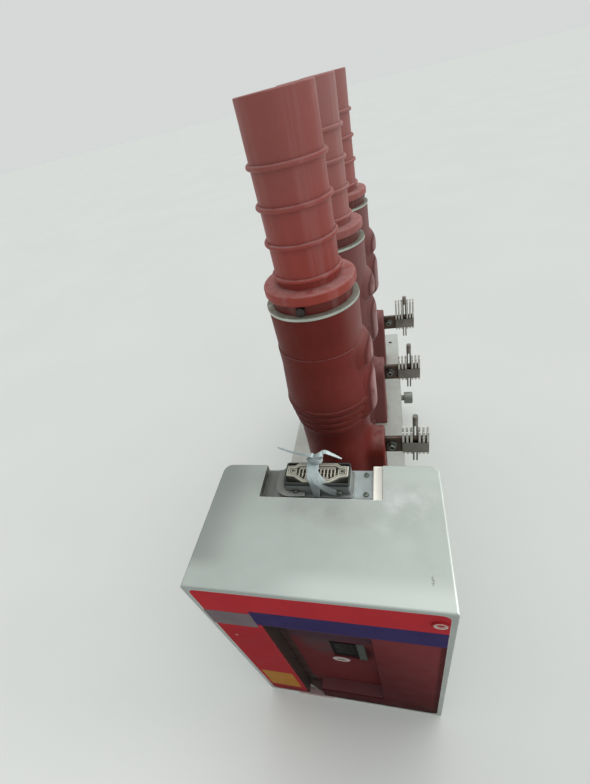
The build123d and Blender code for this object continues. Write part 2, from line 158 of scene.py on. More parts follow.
class Finish:
    """One node material. Each method adds nodes and gives back the socket that carries their result."""

    def __init__(self, name):
        self.material = bpy.data.materials.new(name)
        self.material.use_nodes = True
        self.tree = self.material.node_tree
        self.shader = self.tree.nodes["Principled BSDF"]
        self.place = self.add("ShaderNodeTexCoord").outputs["Object"]
        parts = self.add("ShaderNodeSeparateXYZ")
        self.feed(parts.inputs[0], self.place)
        self.x, self.y, self.z = parts.outputs
        self.ground = None

    def add(self, kind, **settings):
        node = self.tree.nodes.new(kind)
        for key, value in settings.items():
            setattr(node, key, value)
        return node

    def feed(self, socket, value):
        if isinstance(value, bpy.types.NodeSocket):
            self.tree.links.new(value, socket)
        elif socket.type == "RGBA" and len(value) == 3:
            socket.default_value = (*value, 1.0)
        else:
            socket.default_value = value

    def math(self, operation, first, second=0.0, clamp=False):
        node = self.add("ShaderNodeMath", operation=operation, use_clamp=clamp)
        self.feed(node.inputs[0], first)
        self.feed(node.inputs[1], second)
        return node.outputs[0]

    def vector(self, operation, first, second=(0.0, 0.0, 0.0)):
        node = self.add("ShaderNodeVectorMath", operation=operation)
        self.feed(node.inputs[0], first)
        self.feed(node.inputs[1], second)
        return node.outputs["Value" if operation in ("LENGTH", "DOT_PRODUCT") else "Vector"]

    def times(self, *values):
        result = values[0]
        for value in values[1:]:
            result = self.math("MULTIPLY", result, value)
        return result

    def distance(self, across, along):
        """Length of the flat vector of two lengths."""
        return self.math("SQRT", self.math("ADD", self.times(across, across), self.times(along, along)))

    def step(self, value, low, high, start=0.0, end=1.0):
        """Smooth change from start to end while value goes from low to high."""
        node = self.add("ShaderNodeMapRange", interpolation_type="SMOOTHSTEP")
        for socket, amount in zip(node.inputs, (value, low, high, start, end)):
            self.feed(socket, amount)
        return node.outputs[0]

    def fall(self, value, low, high):
        """Smooth change from 1 to 0 while value goes from low to high."""
        return self.step(value, low, high, 1.0, 0.0)

    def between(self, value, low, high, soft=0.0006):
        """1 where the value lies between low and high, 0 outside, with soft borders."""
        return self.times(self.step(value, low - soft, low + soft), self.fall(value, high - soft, high + soft))

    def noise(self, scale, detail=4.0, roughness=0.6, stretch=(1.0, 1.0, 1.0), shift=0.0):
        """Cloudy noise with cells of about 1 / scale metres, drawn out by stretch."""
        mapping = self.add("ShaderNodeMapping")
        node = self.add("ShaderNodeTexNoise")
        for key, amount in (("Vector", self.place), ("Location", (shift, shift, shift)), ("Scale", stretch)):
            self.feed(mapping.inputs[key], amount)
        amounts = {"Vector": mapping.outputs[0], "Scale": scale, "Detail": detail, "Roughness": roughness}
        for key, amount in amounts.items():
            self.feed(node.inputs[key], amount)
        return node.outputs["Fac"]

    def spot(self, centre, radii, inner=0.2):
        """Soft ellipsoid: 1 inside the inner share of the radii, falling to 0 at the radii."""
        scaled = self.vector("DIVIDE", self.vector("SUBTRACT", self.place, centre), radii)
        return self.fall(self.vector("LENGTH", scaled), inner, 1.0)

    def upward(self, low=0.4, high=0.95):
        """1 on faces that look up."""
        parts = self.add("ShaderNodeSeparateXYZ")
        self.feed(parts.inputs[0], self.add("ShaderNodeNewGeometry").outputs["Normal"])
        return self.step(parts.outputs["Z"], low, high)

    def pole_distance(self):
        """Distance, in metres, from the axis of the pole that the point belongs to."""
        turn = self.math("DIVIDE", self.math("SUBTRACT", self.y, first_pole_y), pole_pitch)
        turn = self.math("SUBTRACT", self.math("FRACT", self.math("ADD", turn, 0.5)), 0.5)
        return self.distance(self.math("SUBTRACT", self.x, pole_x), self.times(turn, pole_pitch))

    def edges(self, radius=0.0015, low=0.015, high=0.16):
        """1 along sharp edges, from how far the rounded normal leaves the true one."""
        rounded = self.add("ShaderNodeBevel", samples=4)
        self.feed(rounded.inputs["Radius"], radius)
        true_normal = self.add("ShaderNodeNewGeometry").outputs["True Normal"]
        same = self.vector("DOT_PRODUCT", rounded.outputs[0], true_normal)
        return self.step(self.math("SUBTRACT", 1.0, same), low, high)

    def crevice(self, distance=0.02, low=0.35, high=0.9):
        """1 deep in corners and under overhangs."""
        node = self.add("ShaderNodeAmbientOcclusion", samples=6)
        self.feed(node.inputs["Distance"], distance)
        return self.fall(node.outputs["AO"], low, high)

    def mix(self, share, first, second):
        node = self.add("ShaderNodeMix", data_type="RGBA")
        for index, value in ((0, share), (6, first), (7, second)):
            self.feed(node.inputs[index], value)
        return node.outputs[2]

    def lay(self, colour, *shares):
        """Lays a colour over the ground by the product of the shares."""
        self.ground = self.mix(self.times(*shares), self.ground, colour)

    def cloudy(self, base, scale, amount, **settings):
        """Base colour that drifts darker and lighter by amount."""
        share = self.step(self.noise(scale, **settings), 0.3, 0.7)
        return self.mix(share, scaled(base, 1 - amount), scaled(base, 1 + amount))

    def bump(self, *layers):
        """Layers of (height socket, depth in metres), laid one over the other."""
        normal = None
        for height, depth in layers:
            node = self.add("ShaderNodeBump")
            self.feed(node.inputs["Height"], height)
            self.feed(node.inputs["Distance"], depth)
            if normal is not None:
                self.feed(node.inputs["Normal"], normal)
            normal = node.outputs[0]
        self.feed(self.shader.inputs["Normal"], normal)

    def made(self, **values):
        """The material, with the ground as its colour and the given values in its shader."""
        for key, value in {"Base_Color": self.ground, **values}.items():
            self.feed(self.shader.inputs[key.replace("_", " ")], value)
        return self.material


def scaled(base, share):
    """Darker or lighter form of a linear colour."""
    return tuple(min(1.0, value * share) for value in base)


def powder_coat(name, base, dirt=0.5, peel=0.00012):
    """Powder coated sheet: fine orange peel, faint clouds, dirt in corners and thin grime in patches."""
    f = Finish(name)
    f.ground = f.cloudy(base, 9.0, 0.05, detail=6.0)
    grime_and_shadow = f.step(f.noise(5.5, 8.0, 0.68, shift=3.1), 0.52, 0.74)
    f.lay(scaled(base, 0.55), grime_and_shadow, 0.3 * dirt)
    corner = f.times(f.crevice(0.014), f.step(f.noise(60.0), 0.3, 0.6))
    f.lay(tone(104, 98, 88), corner, 0.8 * dirt)
    specks = f.step(f.noise(420.0, 2.0), 0.70, 0.75)
    f.lay(tone(120, 112, 100), specks, 0.25)
    rough = f.step(f.noise(22.0, shift=1.7), 0.25, 0.75, 0.36, 0.52)
    f.bump((f.noise(520.0, 2.0), peel), (f.noise(3.0, 2.0), 0.0012))
    return f, rough


def in_recess(f):
    """1 on the walls of the opening behind the front plate."""
    across = f.between(f.x, recess_left - 0.003, recess_right + 0.003)
    deep = f.between(f.y, front_y + 0.0012, panel_high.y + 0.001, 0.0002)
    return f.times(across, deep, f.fall(f.z, recess_top + 0.001, recess_top + 0.003))


def maroon_film_with_painted_light(f, base, bright, deep):
    """Dark red film with a painted light gradient: brighter towards its upper right, deeper towards its lower left,
    with soft clouds in it. Each surface gets its own bright and deep shares, as painted light and shade that even out
    the light it gets.
    """
    shade = f.math("ADD", f.times(f.z, 3.3), f.times(f.x, 6.0))
    shade = f.math("ADD", shade, f.times(f.math("SUBTRACT", f.noise(7.0, 6.0), 0.5), 0.5))
    return f.mix(f.step(shade, 0.9, 2.5), scaled(base, deep), scaled(base, bright))


def housing_paint(paint):
    """Housing: painted light and shade on its top, a darker stained patch in front of the notch that is partly a
    painted shadow, a scratch on its top, a painted shadow on the notch's left wall, grime at its foot, and its recess
    walls painted dark red and grey green at levels set as painted light and shade.
    """
    f, rough = powder_coat("housing_paint", paint.housing, 0.4)
    top = housing_high.z
    # Darker patch in front of the notch: a stain and a painted shadow.
    stain_and_shadow = f.math(
        "MAXIMUM",
        f.spot((-0.030, front_y + 0.132, top), (0.050, 0.030, 0.02), 0.0),
        f.spot((0.030, front_y + 0.126, top), (0.080, 0.034, 0.02), 0.0),
    )
    f.lay(tone(128, 122, 120), stain_and_shadow, f.step(f.noise(21.0, 6.0), 0.3, 0.62), 0.42)
    # Pale cloudy patch on the top's right: haze and painted light.
    haze_and_painted_light = f.spot((0.125, front_y + 0.140, top), (0.10, 0.075, 0.02), 0.0)
    f.lay(tone(214, 218, 216), haze_and_painted_light, f.step(f.noise(14.0, 5.0, shift=5.0), 0.36, 0.66), 0.5)
    # Painted light and shade on the top: darker at its left, lighter along its front edge and at its rear right.
    on_top = f.step(f.z, top - 0.004, top - 0.001)
    painted_left_shadow = f.times(on_top, f.fall(f.x, -0.180, -0.105), f.step(f.y, front_y + 0.02, front_y + 0.05))
    f.lay(scaled(paint.housing, 0.60), painted_left_shadow, 0.85)
    bright = f.times(f.fall(f.y, front_y + 0.012, front_y + 0.045), f.step(f.x, -0.08, 0.02))
    far = f.times(f.step(f.y, front_y + 0.165, front_y + 0.200), f.step(f.x, 0.06, 0.085))
    f.lay(scaled(paint.housing, 1.28), on_top, f.math("MAXIMUM", bright, far))
    # Painted shadow on the notch's left wall.
    notch = f.times(
        f.step(f.x, notch_left - 0.003, notch_left - 0.0005),
        f.fall(f.x, -0.060, 0.010),
        f.between(f.y, plate_low.y - 0.002, housing_high.y - 0.002),
        f.between(f.z, plate_low.z - 0.01, top - 0.001),
    )
    f.lay(tone(84, 84, 78), notch, 0.8)
    f.lay(tone(226, 224, 216), f.edges(0.0022), f.step(f.noise(70.0, 5.0), 0.35, 0.6), 0.7)
    scratch = f.spot((0.1586, front_y + 0.0367, top), (0.0026, 0.0085, 0.01), 0.3)
    f.lay(tone(104, 104, 102), scratch, f.step(f.noise(300.0), 0.4, 0.5), 0.8)
    f.lay(tone(120, 108, 92), f.fall(f.z, 0.0, 0.16), f.step(f.noise(18.0, 7.0, 0.7), 0.4, 0.7), 0.5)
    # Recess walls: the dark red film at a level set as painted light, and at the left the grey green colour darkened as
    # painted shade.
    shadowed = maroon_film_with_painted_light(f, paint.maroon, 2.6, 0.95)
    left = f.fall(f.x, lining_edge - 0.001, lining_edge + 0.001)
    lining_with_shade = f.mix(f.step(f.y, front_y + 0.016, front_y + 0.0225), paint.lining_with_shade, tone(58, 50, 46))
    f.lay(f.mix(left, shadowed, lining_with_shade), in_recess(f))
    return f.made(Roughness=rough)


def plug_paint(paint):
    """Cap of the front: a pale ring with red inside it; the red at its outer edge is painted shade."""
    f = Finish("plug_paint")
    low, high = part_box("fascia_plug")
    across = f.math("SUBTRACT", f.x, (low.x + high.x) / 2)
    above = f.math("SUBTRACT", f.z, (low.z + high.z) / 2)
    away = f.math("DIVIDE", f.distance(across, above), (high.x - low.x) / 2)
    # Red outside the ring is painted shade at the cap's edge.
    ring = f.times(f.step(away, 0.42, 0.52), f.fall(away, 0.78, 0.86))
    f.ground = f.mix(ring, scaled(paint.red, 0.8), f.cloudy(tone(196, 176, 168), 90.0, 0.2))
    return f.made(Roughness=0.5, Specular_IOR_Level=0.02)


def chassis_paint(paint):
    """Chassis: dusty on top, grimy at its foot, with a little rust on its edges."""
    f, rough = powder_coat("chassis_paint", paint.sheet, 0.8)
    f.lay(tone(150, 140, 124), f.upward(), f.step(f.noise(12.0, 7.0, 0.7), 0.35, 0.72), 0.4)
    f.lay(tone(118, 106, 88), f.fall(f.z, 0.0, 0.2), f.step(f.noise(16.0, 7.0, 0.7), 0.4, 0.7), 0.6)
    f.lay(tone(104, 62, 40), f.edges(0.003), f.step(f.noise(34.0, 6.0), 0.54, 0.66), 0.7)
    return f.made(Roughness=rough)


def tab_paint():
    """Pinkish bent sheet, darkened as painted shade, with a light front lip that is partly rubbed bare and partly a
    painted highlight.
    """
    # Dull base colour darkened as painted shade.
    f, rough = powder_coat("tab_paint", tone(146, 122, 120), 0.4)
    # Light front lip: rubbed bare and a painted highlight.
    f.lay(tone(206, 188, 182), f.fall(f.y, front_y - 0.0012, front_y))
    return f.made(Roughness=rough)


def trim_paint(paint):
    """Cream strip with yellowed patches."""
    f, rough = powder_coat("trim_paint", paint.trim, 0.0)
    f.lay(tone(196, 182, 156), f.step(f.noise(40.0, 5.0, stretch=(1.0, 0.2, 1.0)), 0.5, 0.7), 0.25)
    return f.made(Roughness=rough)


def fascia_paint(paint):
    """Front film: red, a blue stripe and a bare grey patch above the opening, darker red right of it and below it, with
    painted light and shade: the red darker low on the left, a light gradient in the darker red and a shadow down its
    right edge.
    """
    f = Finish("fascia_paint")
    red = f.cloudy(paint.red, 12.0, 0.06, detail=6.0)
    # Red darkened below the stripe: painted shade.
    red = f.mix(f.times(f.fall(f.z, 0.38, 0.46), 0.55), red, scaled(paint.red, 0.55))
    inner = f.times(f.step(f.x, -0.0955, -0.0945), f.fall(f.z, recess_top - 0.0005, recess_top + 0.0005))
    f.ground = f.mix(inner, red, maroon_film_with_painted_light(f, paint.maroon, 1.6, 0.6))
    f.lay(f.cloudy(paint.stripe, 15.0, 0.1), f.between(f.z, recess_top, 0.480), f.step(f.x, -0.1025, -0.1015))
    f.lay(f.cloudy(paint.patch, 30.0, 0.12), f.between(f.z, 0.414, 0.469), f.fall(f.x, -0.1025, -0.1015))
    # Dark line down the right edge of the darker red: painted shadow.
    f.lay(tone(44, 20, 22), inner, f.step(f.x, 0.166, 0.172), 0.6)
    f.lay(tone(46, 28, 26), f.fall(f.z, 0.0, 0.075), f.step(f.noise(26.0, 7.0, 0.7), 0.28, 0.6), 0.85)
    scuffs = f.step(f.noise(46.0, 7.0, 0.72, stretch=(0.5, 1.0, 1.6), shift=2.0), 0.63, 0.74)
    f.lay(tone(150, 96, 94), scuffs, 0.10)
    rim = f.times(f.edges(0.0012), f.step(f.noise(120.0), 0.3, 0.6), f.math("SUBTRACT", 1.0, inner))
    f.lay(tone(214, 180, 172), rim, 0.55)
    f.bump((f.noise(640.0, 2.0), 0.00005), (f.noise(9.0, 3.0), 0.0008))
    rough = f.step(f.noise(24.0), 0.3, 0.7, 0.34, 0.48)
    return f.made(Roughness=rough, Specular_IOR_Level=0.002)


def panel_paint(paint):
    """Dark red panel at the back of the opening, brightened by painted light, with a grey patch of painted light in its
    upper left, a painted shadow under the opening's top edge, a dark ring of painted shadow by the window, painted
    shade in its corners and a grey green band of painted shade at its left.
    """
    f = Finish("panel_paint")
    f.ground = maroon_film_with_painted_light(f, paint.maroon, 3.0, 1.0)
    # Grey patch of painted light in the upper left.
    haze_and_painted_light = f.spot((-0.022, panel_low.y, 0.300), (0.056, 0.02, 0.085), 0.25)
    f.lay(tone(74, 64, 66), haze_and_painted_light, f.step(f.noise(24.0, 5.0), 0.1, 0.6), 0.9)
    # Painted shadow under the opening's top edge.
    f.lay(tone(70, 52, 60), f.step(f.z, 0.296, 0.330), 0.92)
    # Dark ring of painted shadow by the window.
    halo = f.spot((0.040, panel_low.y, 0.268), (0.036, 0.02, 0.060), 0.45)
    f.lay(tone(34, 18, 18), halo, 0.8)
    # Painted shade in the corners.
    f.lay(tone(40, 20, 20), f.crevice(0.01), 0.4)
    # Grey green band at the left: painted shade.
    beside = f.fall(f.x, lining_edge - 0.003, lining_edge + 0.003)
    f.lay(f.cloudy(tone(66, 54, 50), 30.0, 0.25), beside, 0.94)
    f.bump((f.noise(640.0, 2.0), 0.00005))
    rough = f.step(f.noise(24.0), 0.3, 0.7, 0.34, 0.5)
    return f.made(Roughness=rough, Specular_IOR_Level=0.002)


def resin(name, base, dust_colour, dust, gloss, specular, edge=0.01):
    """Cast resin: slight clouds, fine vertical draw marks, dust on what looks up, painted shade in the grooves."""
    f = Finish(name)
    f.ground = f.cloudy(base, 7.0, 0.10, detail=7.0)
    draw = f.step(f.noise(80.0, 4.0, stretch=(1.0, 1.0, 0.06)), 0.42, 0.68)
    f.lay(scaled(base, 1.7), draw, 0.10)
    film = f.step(f.noise(10.0, 8.0, 0.7, shift=4.0), 0.4, 0.75)
    f.lay(dust_colour, film, 0.14 * dust)
    # Darker resin in the grooves: painted shade.
    groove_shade = f.times(f.crevice(0.010, 0.2, 0.75), f.step(f.noise(44.0), 0.2, 0.6))
    f.lay(scaled(base, 0.45), groove_shade, 0.4)
    settled = f.times(f.upward(0.35, 0.95), f.step(f.noise(55.0, 6.0, 0.7), 0.25, 0.6))
    f.lay(dust_colour, settled, dust)
    rubbed = f.times(f.edges(0.0018, edge, 12 * edge), f.step(f.noise(90.0, 4.0), 0.3, 0.62))
    f.lay(dust_colour, rubbed, 0.35)
    rough = f.step(f.noise(18.0, 5.0), 0.25, 0.75, gloss, gloss + 0.16)
    rough = f.math("ADD", rough, f.times(settled, 0.3), clamp=True)
    f.bump((f.noise(380.0, 3.0), 0.00008), (f.noise(26.0, 3.0), 0.0004))
    f.feed(f.shader.inputs["Specular IOR Level"], specular)
    return f, rough


def rearward(f):
    """0 on the front of the first pole and 1 behind it, where the poles are dustier."""
    return f.step(f.y, first_pole_y + 0.005, first_pole_y + 0.055)


def tube_resin(cast):
    """Upper tubes: bleached towards the mouth, with faint upright streaks and painted shade on the neck under the
    flange.
    """
    f, rough = resin("tube_resin", cast.tube, cast.dust, 0.4, 0.36, 0.2)
    bleached = f.step(f.z, 0.80, 1.06)
    f.lay(scaled(cast.dust, 0.6), bleached, 0.28)
    f.lay(cast.dust, rearward(f), 0.22)
    away = f.pole_distance()
    # Dark neck under the flange: painted shade.
    neck = f.between(f.z, flange_low.z - 0.001, flange_low.z + 0.0155, 0.001)
    f.lay(tone(58, 26, 22), neck, f.fall(away, 0.064, 0.066), 0.62)
    rim = f.times(f.between(f.z, flange_low.z + 0.016, flange_high.z, 0.002), f.step(away, 0.070, 0.074))
    f.lay(cast.dust, rim, f.step(f.noise(22.0, 6.0), 0.2, 0.6), 0.46)
    streak = f.step(f.noise(46.0, 5.0, stretch=(1.0, 1.0, 0.03), shift=7.0), 0.5, 0.72)
    f.lay(cast.dust, streak, 0.16)
    return f.made(Roughness=rough)


def barrel_resin(cast):
    """Barrels: pink dust in upright streaks on the side sheds, a dark crease of painted shade where they leave the
    body, painted shade over the ribbed foot and pale dust on the upper right that also paints the light there.
    """
    f, rough = resin("barrel_resin", cast.barrel, cast.dust, 0.25, 0.4, 0.1, 0.05)
    # Darker band over the ribbed foot: painted shade.
    ribbed = f.times(f.step(f.z, 0.525, 0.565), f.fall(f.z, 0.615, 0.67))
    f.lay(scaled(cast.barrel, 0.45), ribbed, 0.45)
    away = f.pole_distance()
    high = f.step(f.z, shed_foot, shed_foot + 0.012)
    lobe = f.times(f.step(away, barrel_reach + 0.0010, barrel_reach + 0.0065), high)
    mottle = f.step(f.noise(38.0, 7.0, 0.6, stretch=(1.0, 1.0, 0.45), shift=2.5), 0.28, 0.54)
    f.lay(tone(204, 176, 176), lobe, mottle, 0.66)
    f.lay(cast.dust, rearward(f), 0.16)
    # Pale dust on the upper right that also paints the light there.
    haze_and_painted_light = f.times(f.step(f.x, pole_x + 0.040, pole_x + 0.068), f.step(f.z, 0.70, 0.76))
    f.lay(cast.dust, haze_and_painted_light, 0.14)
    # Dark crease where the sheds leave the body: painted shade.
    crease = f.step(away, barrel_reach - 0.001, barrel_reach + 0.0008)
    f.lay(scaled(cast.barrel, 0.4), crease, f.fall(away, barrel_reach + 0.001, barrel_reach + 0.003), high, 0.6)
    rough = f.math("ADD", rough, f.times(lobe, 0.2), clamp=True)
    return f.made(Roughness=rough)


def metal(name, base, rough_low, rough_high, stains, tarnish, brushed=(1.0, 1.0, 1.0), metallic=1.0):
    """Metal with drawn grain, clouded roughness and patches of tarnish that are darker and duller."""
    f = Finish(name)
    f.ground = f.cloudy(base, 24.0, 0.12, detail=6.0)
    patches = f.step(f.noise(38.0, 8.0, 0.7, shift=2.0), 0.48, 0.68)
    f.lay(tarnish, patches, stains)
    f.lay(scaled(tarnish, 0.5), f.crevice(0.008), 0.6)
    f.lay(scaled(base, 1.6), f.edges(0.0008), 0.5)
    rough = f.step(f.noise(60.0, 5.0, stretch=brushed), 0.3, 0.7, rough_low, rough_high)
    rough = f.math("ADD", rough, f.times(patches, 0.18), clamp=True)
    f.bump((f.noise(700.0, 3.0, stretch=brushed), 0.00003), (f.noise(60.0, 3.0), 0.0001))
    return f.made(Roughness=rough, Metallic=metallic)


def plastic(name, base, rough=0.5, dirt=0.4, grain=0.00004, specular=0.3):
    """Moulded plastic: even colour with faint clouds, dust in corners and a fine spark texture."""
    f = Finish(name)
    f.ground = f.cloudy(base, 30.0, 0.06, detail=5.0)
    f.lay(tone(70, 62, 52), f.crevice(0.005), dirt)
    f.lay(tone(150, 140, 124), f.upward(), f.step(f.noise(70.0, 7.0, 0.7), 0.45, 0.75), 0.4 * dirt)
    f.lay(tuple(min(1.0, value * 1.5 + 0.03) for value in base), f.edges(0.0006), 0.35)
    f.bump((f.noise(900.0, 2.0), grain))
    rough = f.step(f.noise(40.0), 0.3, 0.7, rough - 0.07, rough + 0.08)
    return f.made(Roughness=rough, Specular_IOR_Level=specular)


def strap_plastic(base):
    """Pale strap, darker as painted shade where it runs down the connector's front and in its folds."""
    f = Finish("strap_plastic")
    f.ground = f.cloudy(base, 60.0, 0.10, detail=6.0)
    # Darker where it runs down the front: painted shade.
    f.lay(tone(112, 116, 116), f.fall(f.z, 0.560, 0.576), f.fall(f.y, front_y + 0.170, front_y + 0.177), 0.75)
    f.lay(tone(206, 212, 210), f.edges(0.0007), 0.6)
    # Darker in its folds: painted shade.
    f.lay(tone(84, 88, 88), f.crevice(0.004), 0.4)
    f.bump((f.noise(900.0, 2.0), 0.00004), (f.noise(160.0, 3.0, stretch=(1.0, 0.2, 0.2)), 0.0003))
    return f.made(Roughness=f.step(f.noise(40.0), 0.3, 0.7, 0.34, 0.5), Specular_IOR_Level=0.3)


def insert_plastic(base):
    """Cream plastic, darker below the connector's face."""
    f = Finish("insert")
    f.ground = f.cloudy(base, 60.0, 0.10, detail=5.0)
    f.lay(tone(70, 62, 52), f.crevice(0.005), 0.6)
    f.lay(tone(208, 206, 194), f.edges(0.0006), 0.4)
    f.lay(tone(64, 64, 58), f.fall(f.z, insert_high.z - 0.0045, insert_high.z - 0.0022), 0.8)
    f.bump((f.noise(900.0, 2.0), 0.00004))
    return f.made(Roughness=0.5, Specular_IOR_Level=0.3)


def plate_zinc():
    """Bluish plated plate, darkened over its left part and along its front edge by a painted shadow."""
    f = Finish("plate_zinc")
    f.ground = f.cloudy(tone(176, 188, 188), 24.0, 0.12, detail=6.0)
    # Painted shadow over the plate's left part and along its front edge.
    along_front = f.times(f.fall(f.y, plate_low.y + 0.004, plate_low.y + 0.016), 0.6)
    grime_and_shadow = f.math("MAXIMUM", f.fall(f.x, -0.060, 0.010), along_front)
    f.lay(tone(98, 98, 92), grime_and_shadow, f.step(f.noise(30.0, 6.0), 0.1, 0.5, 0.6, 1.0), 0.85)
    f.bump((f.noise(700.0, 3.0), 0.00003), (f.noise(60.0, 3.0), 0.0001))
    rough = f.step(f.noise(60.0, 5.0), 0.3, 0.7, 0.36, 0.55)
    return f.made(Roughness=rough, Metallic=0.4)


def disc_plating(base):
    """Plated disc: bright at the rim, dulled by greenish dust on its upper face."""
    f = Finish("disc_plating")
    f.ground = f.cloudy(base, 40.0, 0.12)
    dust = f.times(f.upward(), f.step(f.noise(60.0, 6.0, 0.7), 0.2, 0.6))
    f.lay(tone(126, 120, 104), dust, 0.75)
    rough = f.math("ADD", f.step(f.noise(80.0), 0.3, 0.7, 0.26, 0.4), f.times(dust, 0.35), clamp=True)
    f.bump((f.noise(500.0, 3.0, stretch=(1.0, 1.0, 8.0)), 0.00003))
    return f.made(Roughness=rough, Metallic=f.step(dust, 0.0, 1.0, 1.0, 0.3))


def floor_paint(base):
    """Pale matt floor."""
    f = Finish("floor_paint")
    f.ground = f.cloudy(base, 1.4, 0.012, detail=3.0)
    return f.made(Roughness=0.9, Specular_IOR_Level=0.0)


def studio_world(level):
    """Even light: the floor's own brightness at the horizon, brighter overhead, dimmer to the front left."""
    world = bpy.data.worlds.new("studio")
    world.use_nodes = True
    tree = world.node_tree
    background = tree.nodes["Background"]
    look = tree.nodes.new("ShaderNodeTexCoord").outputs["Generated"]

    def towards(direction, low, high, start, end):
        along = tree.nodes.new("ShaderNodeVectorMath")
        along.operation = "DOT_PRODUCT"
        tree.links.new(look, along.inputs[0])
        along.inputs[1].default_value = direction
        share = tree.nodes.new("ShaderNodeMapRange")
        share.interpolation_type = "SMOOTHSTEP"
        tree.links.new(along.outputs["Value"], share.inputs[0])
        for socket, value in zip(share.inputs[1:5], (low, high, start, end)):
            socket.default_value = value
        return share.outputs[0]

    product = tree.nodes.new("ShaderNodeMath")
    product.operation = "MULTIPLY"
    tree.links.new(towards((0.0, 0.0, 1.0), 0.25, 1.0, level, 1.7 * level), product.inputs[0])
    tree.links.new(towards((-0.76, -0.65, 0.0), 0.15, 0.95, 1.0, 0.35), product.inputs[1])
    tree.links.new(product.outputs[0], background.inputs["Strength"])
    background.inputs["Color"].default_value = (0.97, 1.0, 0.99, 1.0)
    return world


# Shapes


class Shell:
    """Grids of points gathered into one mesh, each wrapped round its columns and closed by a fan at its ends."""

    def __init__(self):
        self.points = []
        self.faces = []
        self.count = 0

    def add(self, grid, place=None, close_first=True, close_last=True):
        """Grid of rows by columns by 3. Columns run anticlockwise as seen from outside the last row.

        A place turns the grid by its axes and moves it to its centre. Each closed end gets one more row,
        drawn in a little towards its middle, so that its cap shades flat."""
        if place is not None:
            centre, axes = place
            grid = centre + grid @ axes
        support = 0.06
        ends = grid.mean(axis=1, keepdims=True)
        if close_first:
            grid = np.concatenate([grid[:1] + support * (ends[:1] - grid[:1]), grid])
        if close_last:
            grid = np.concatenate([grid, grid[-1:] + support * (ends[-1:] - grid[-1:])])
        rows, columns = grid.shape[:2]
        index = self.count + np.arange(rows * columns).reshape(rows, columns)
        following = np.roll(index, -1, axis=1)
        quads = np.stack([index[:-1], following[:-1], following[1:], index[1:]], axis=-1)
        self.faces += quads.reshape(-1, 4).tolist()
        self.points.append(grid.reshape(-1, 3))
        self.count += rows * columns
        for closed, row, order in ((close_first, 0, (1, 0)), (close_last, -1, (0, 1))):
            if closed:
                pair = np.stack([index[row], np.roll(index[row], -1)])
                hub = np.full(columns, self.count)
                fan = np.stack([hub, pair[order[0]], pair[order[1]]], axis=-1)
                self.faces += fan.tolist()
                self.points.append(grid[row].mean(axis=0, keepdims=True))
                self.count += 1
        return self

    def piece(self, name, material, slot, smooth=35.0):
        """Object of the gathered mesh, riding on the one body, with edges sharp above an angle in degrees."""
        mesh = bpy.data.meshes.new(name)
        mesh.from_pydata(np.concatenate(self.points).tolist(), [], self.faces)
        mesh.materials.append(material)
        mesh.shade_smooth()
        mesh.set_sharp_from_angle(angle=math.radians(smooth))
        made = bpy.data.objects.new(name, mesh)
        bpy.context.scene.collection.objects.link(made)
        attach(made, "root")
        return made


def facing(centre, across, up):
    """Place of a grid: its own x runs along across, y along up and z along their cross product, from centre."""
    across, up = np.array(across, float), np.array(up, float)
    return np.array(centre, float), np.stack([across, up, np.cross(across, up)])


def lying(x, y, z):
    """Place on a face that looks up."""
    return facing((x, y, z), (1, 0, 0), (0, 1, 0))


def upright(x, y, z, side=-1):
    """Place on a face that looks to the front, or to the rear for side 1."""
    return facing((x, y, z), (-side, 0, 0), (0, 0, 1))


def single(name, grid, place, material, slot):
    """Object of one closed grid."""
    return Shell().add(grid, place).piece(name, material, slot)


def raised(flat, height):
    """Rows of flat points, each row with its height as the third coordinate."""
    return np.concatenate([flat, np.broadcast_to(height[:, None, None], flat.shape[:2] + (1,))], axis=-1)


def turned(profile, sides=32):
    """Point (u, v) is (r(v) cos 2 pi u, r(v) sin 2 pi u, h(v)) for a profile of radii r and heights h."""
    radius, height = np.array(profile, float).T
    angle = 2 * np.pi * np.arange(sides) / sides
    return raised(radius[:, None, None] * np.stack([np.cos(angle), np.sin(angle)], axis=-1), height)


def rounded_outline(width, depth, radius, corner=5):
    """Anticlockwise outline: quarter circles of the radius about four corner centres."""
    angle = np.linspace(0, np.pi / 2, corner)
    turns = np.arange(4)[:, None] * np.pi / 2 + angle
    middle_x = (width / 2 - radius) * np.array([1, -1, -1, 1])[:, None]
    middle_y = (depth / 2 - radius) * np.array([1, 1, -1, -1])[:, None]
    return np.stack([middle_x + radius * np.cos(turns), middle_y + radius * np.sin(turns)], axis=-1).reshape(-1, 2)


def square(width, depth):
    """Anticlockwise outline of four corners, for rims drawn in by more than a corner radius."""
    return np.array([(1, 1), (-1, 1), (-1, -1), (1, -1)]) * np.array([width, depth]) / 2


def walled(outline, profile):
    """Point (u, v) is outline(u) drawn in by inset(v) along the corner bisector and raised by height(v)."""
    before = outline - np.roll(outline, 1, axis=0)
    after = np.roll(outline, -1, axis=0) - outline
    first, second = (
        np.stack([edge[:, 1], -edge[:, 0]], -1) / np.linalg.norm(edge, axis=1)[:, None] for edge in (before, after)
    )
    mitre = (first + second) / (1 + (first * second).sum(axis=1, keepdims=True))
    inset, height = np.array(profile, float).T
    return raised(outline[None] - inset[:, None, None] * mitre[None], height)


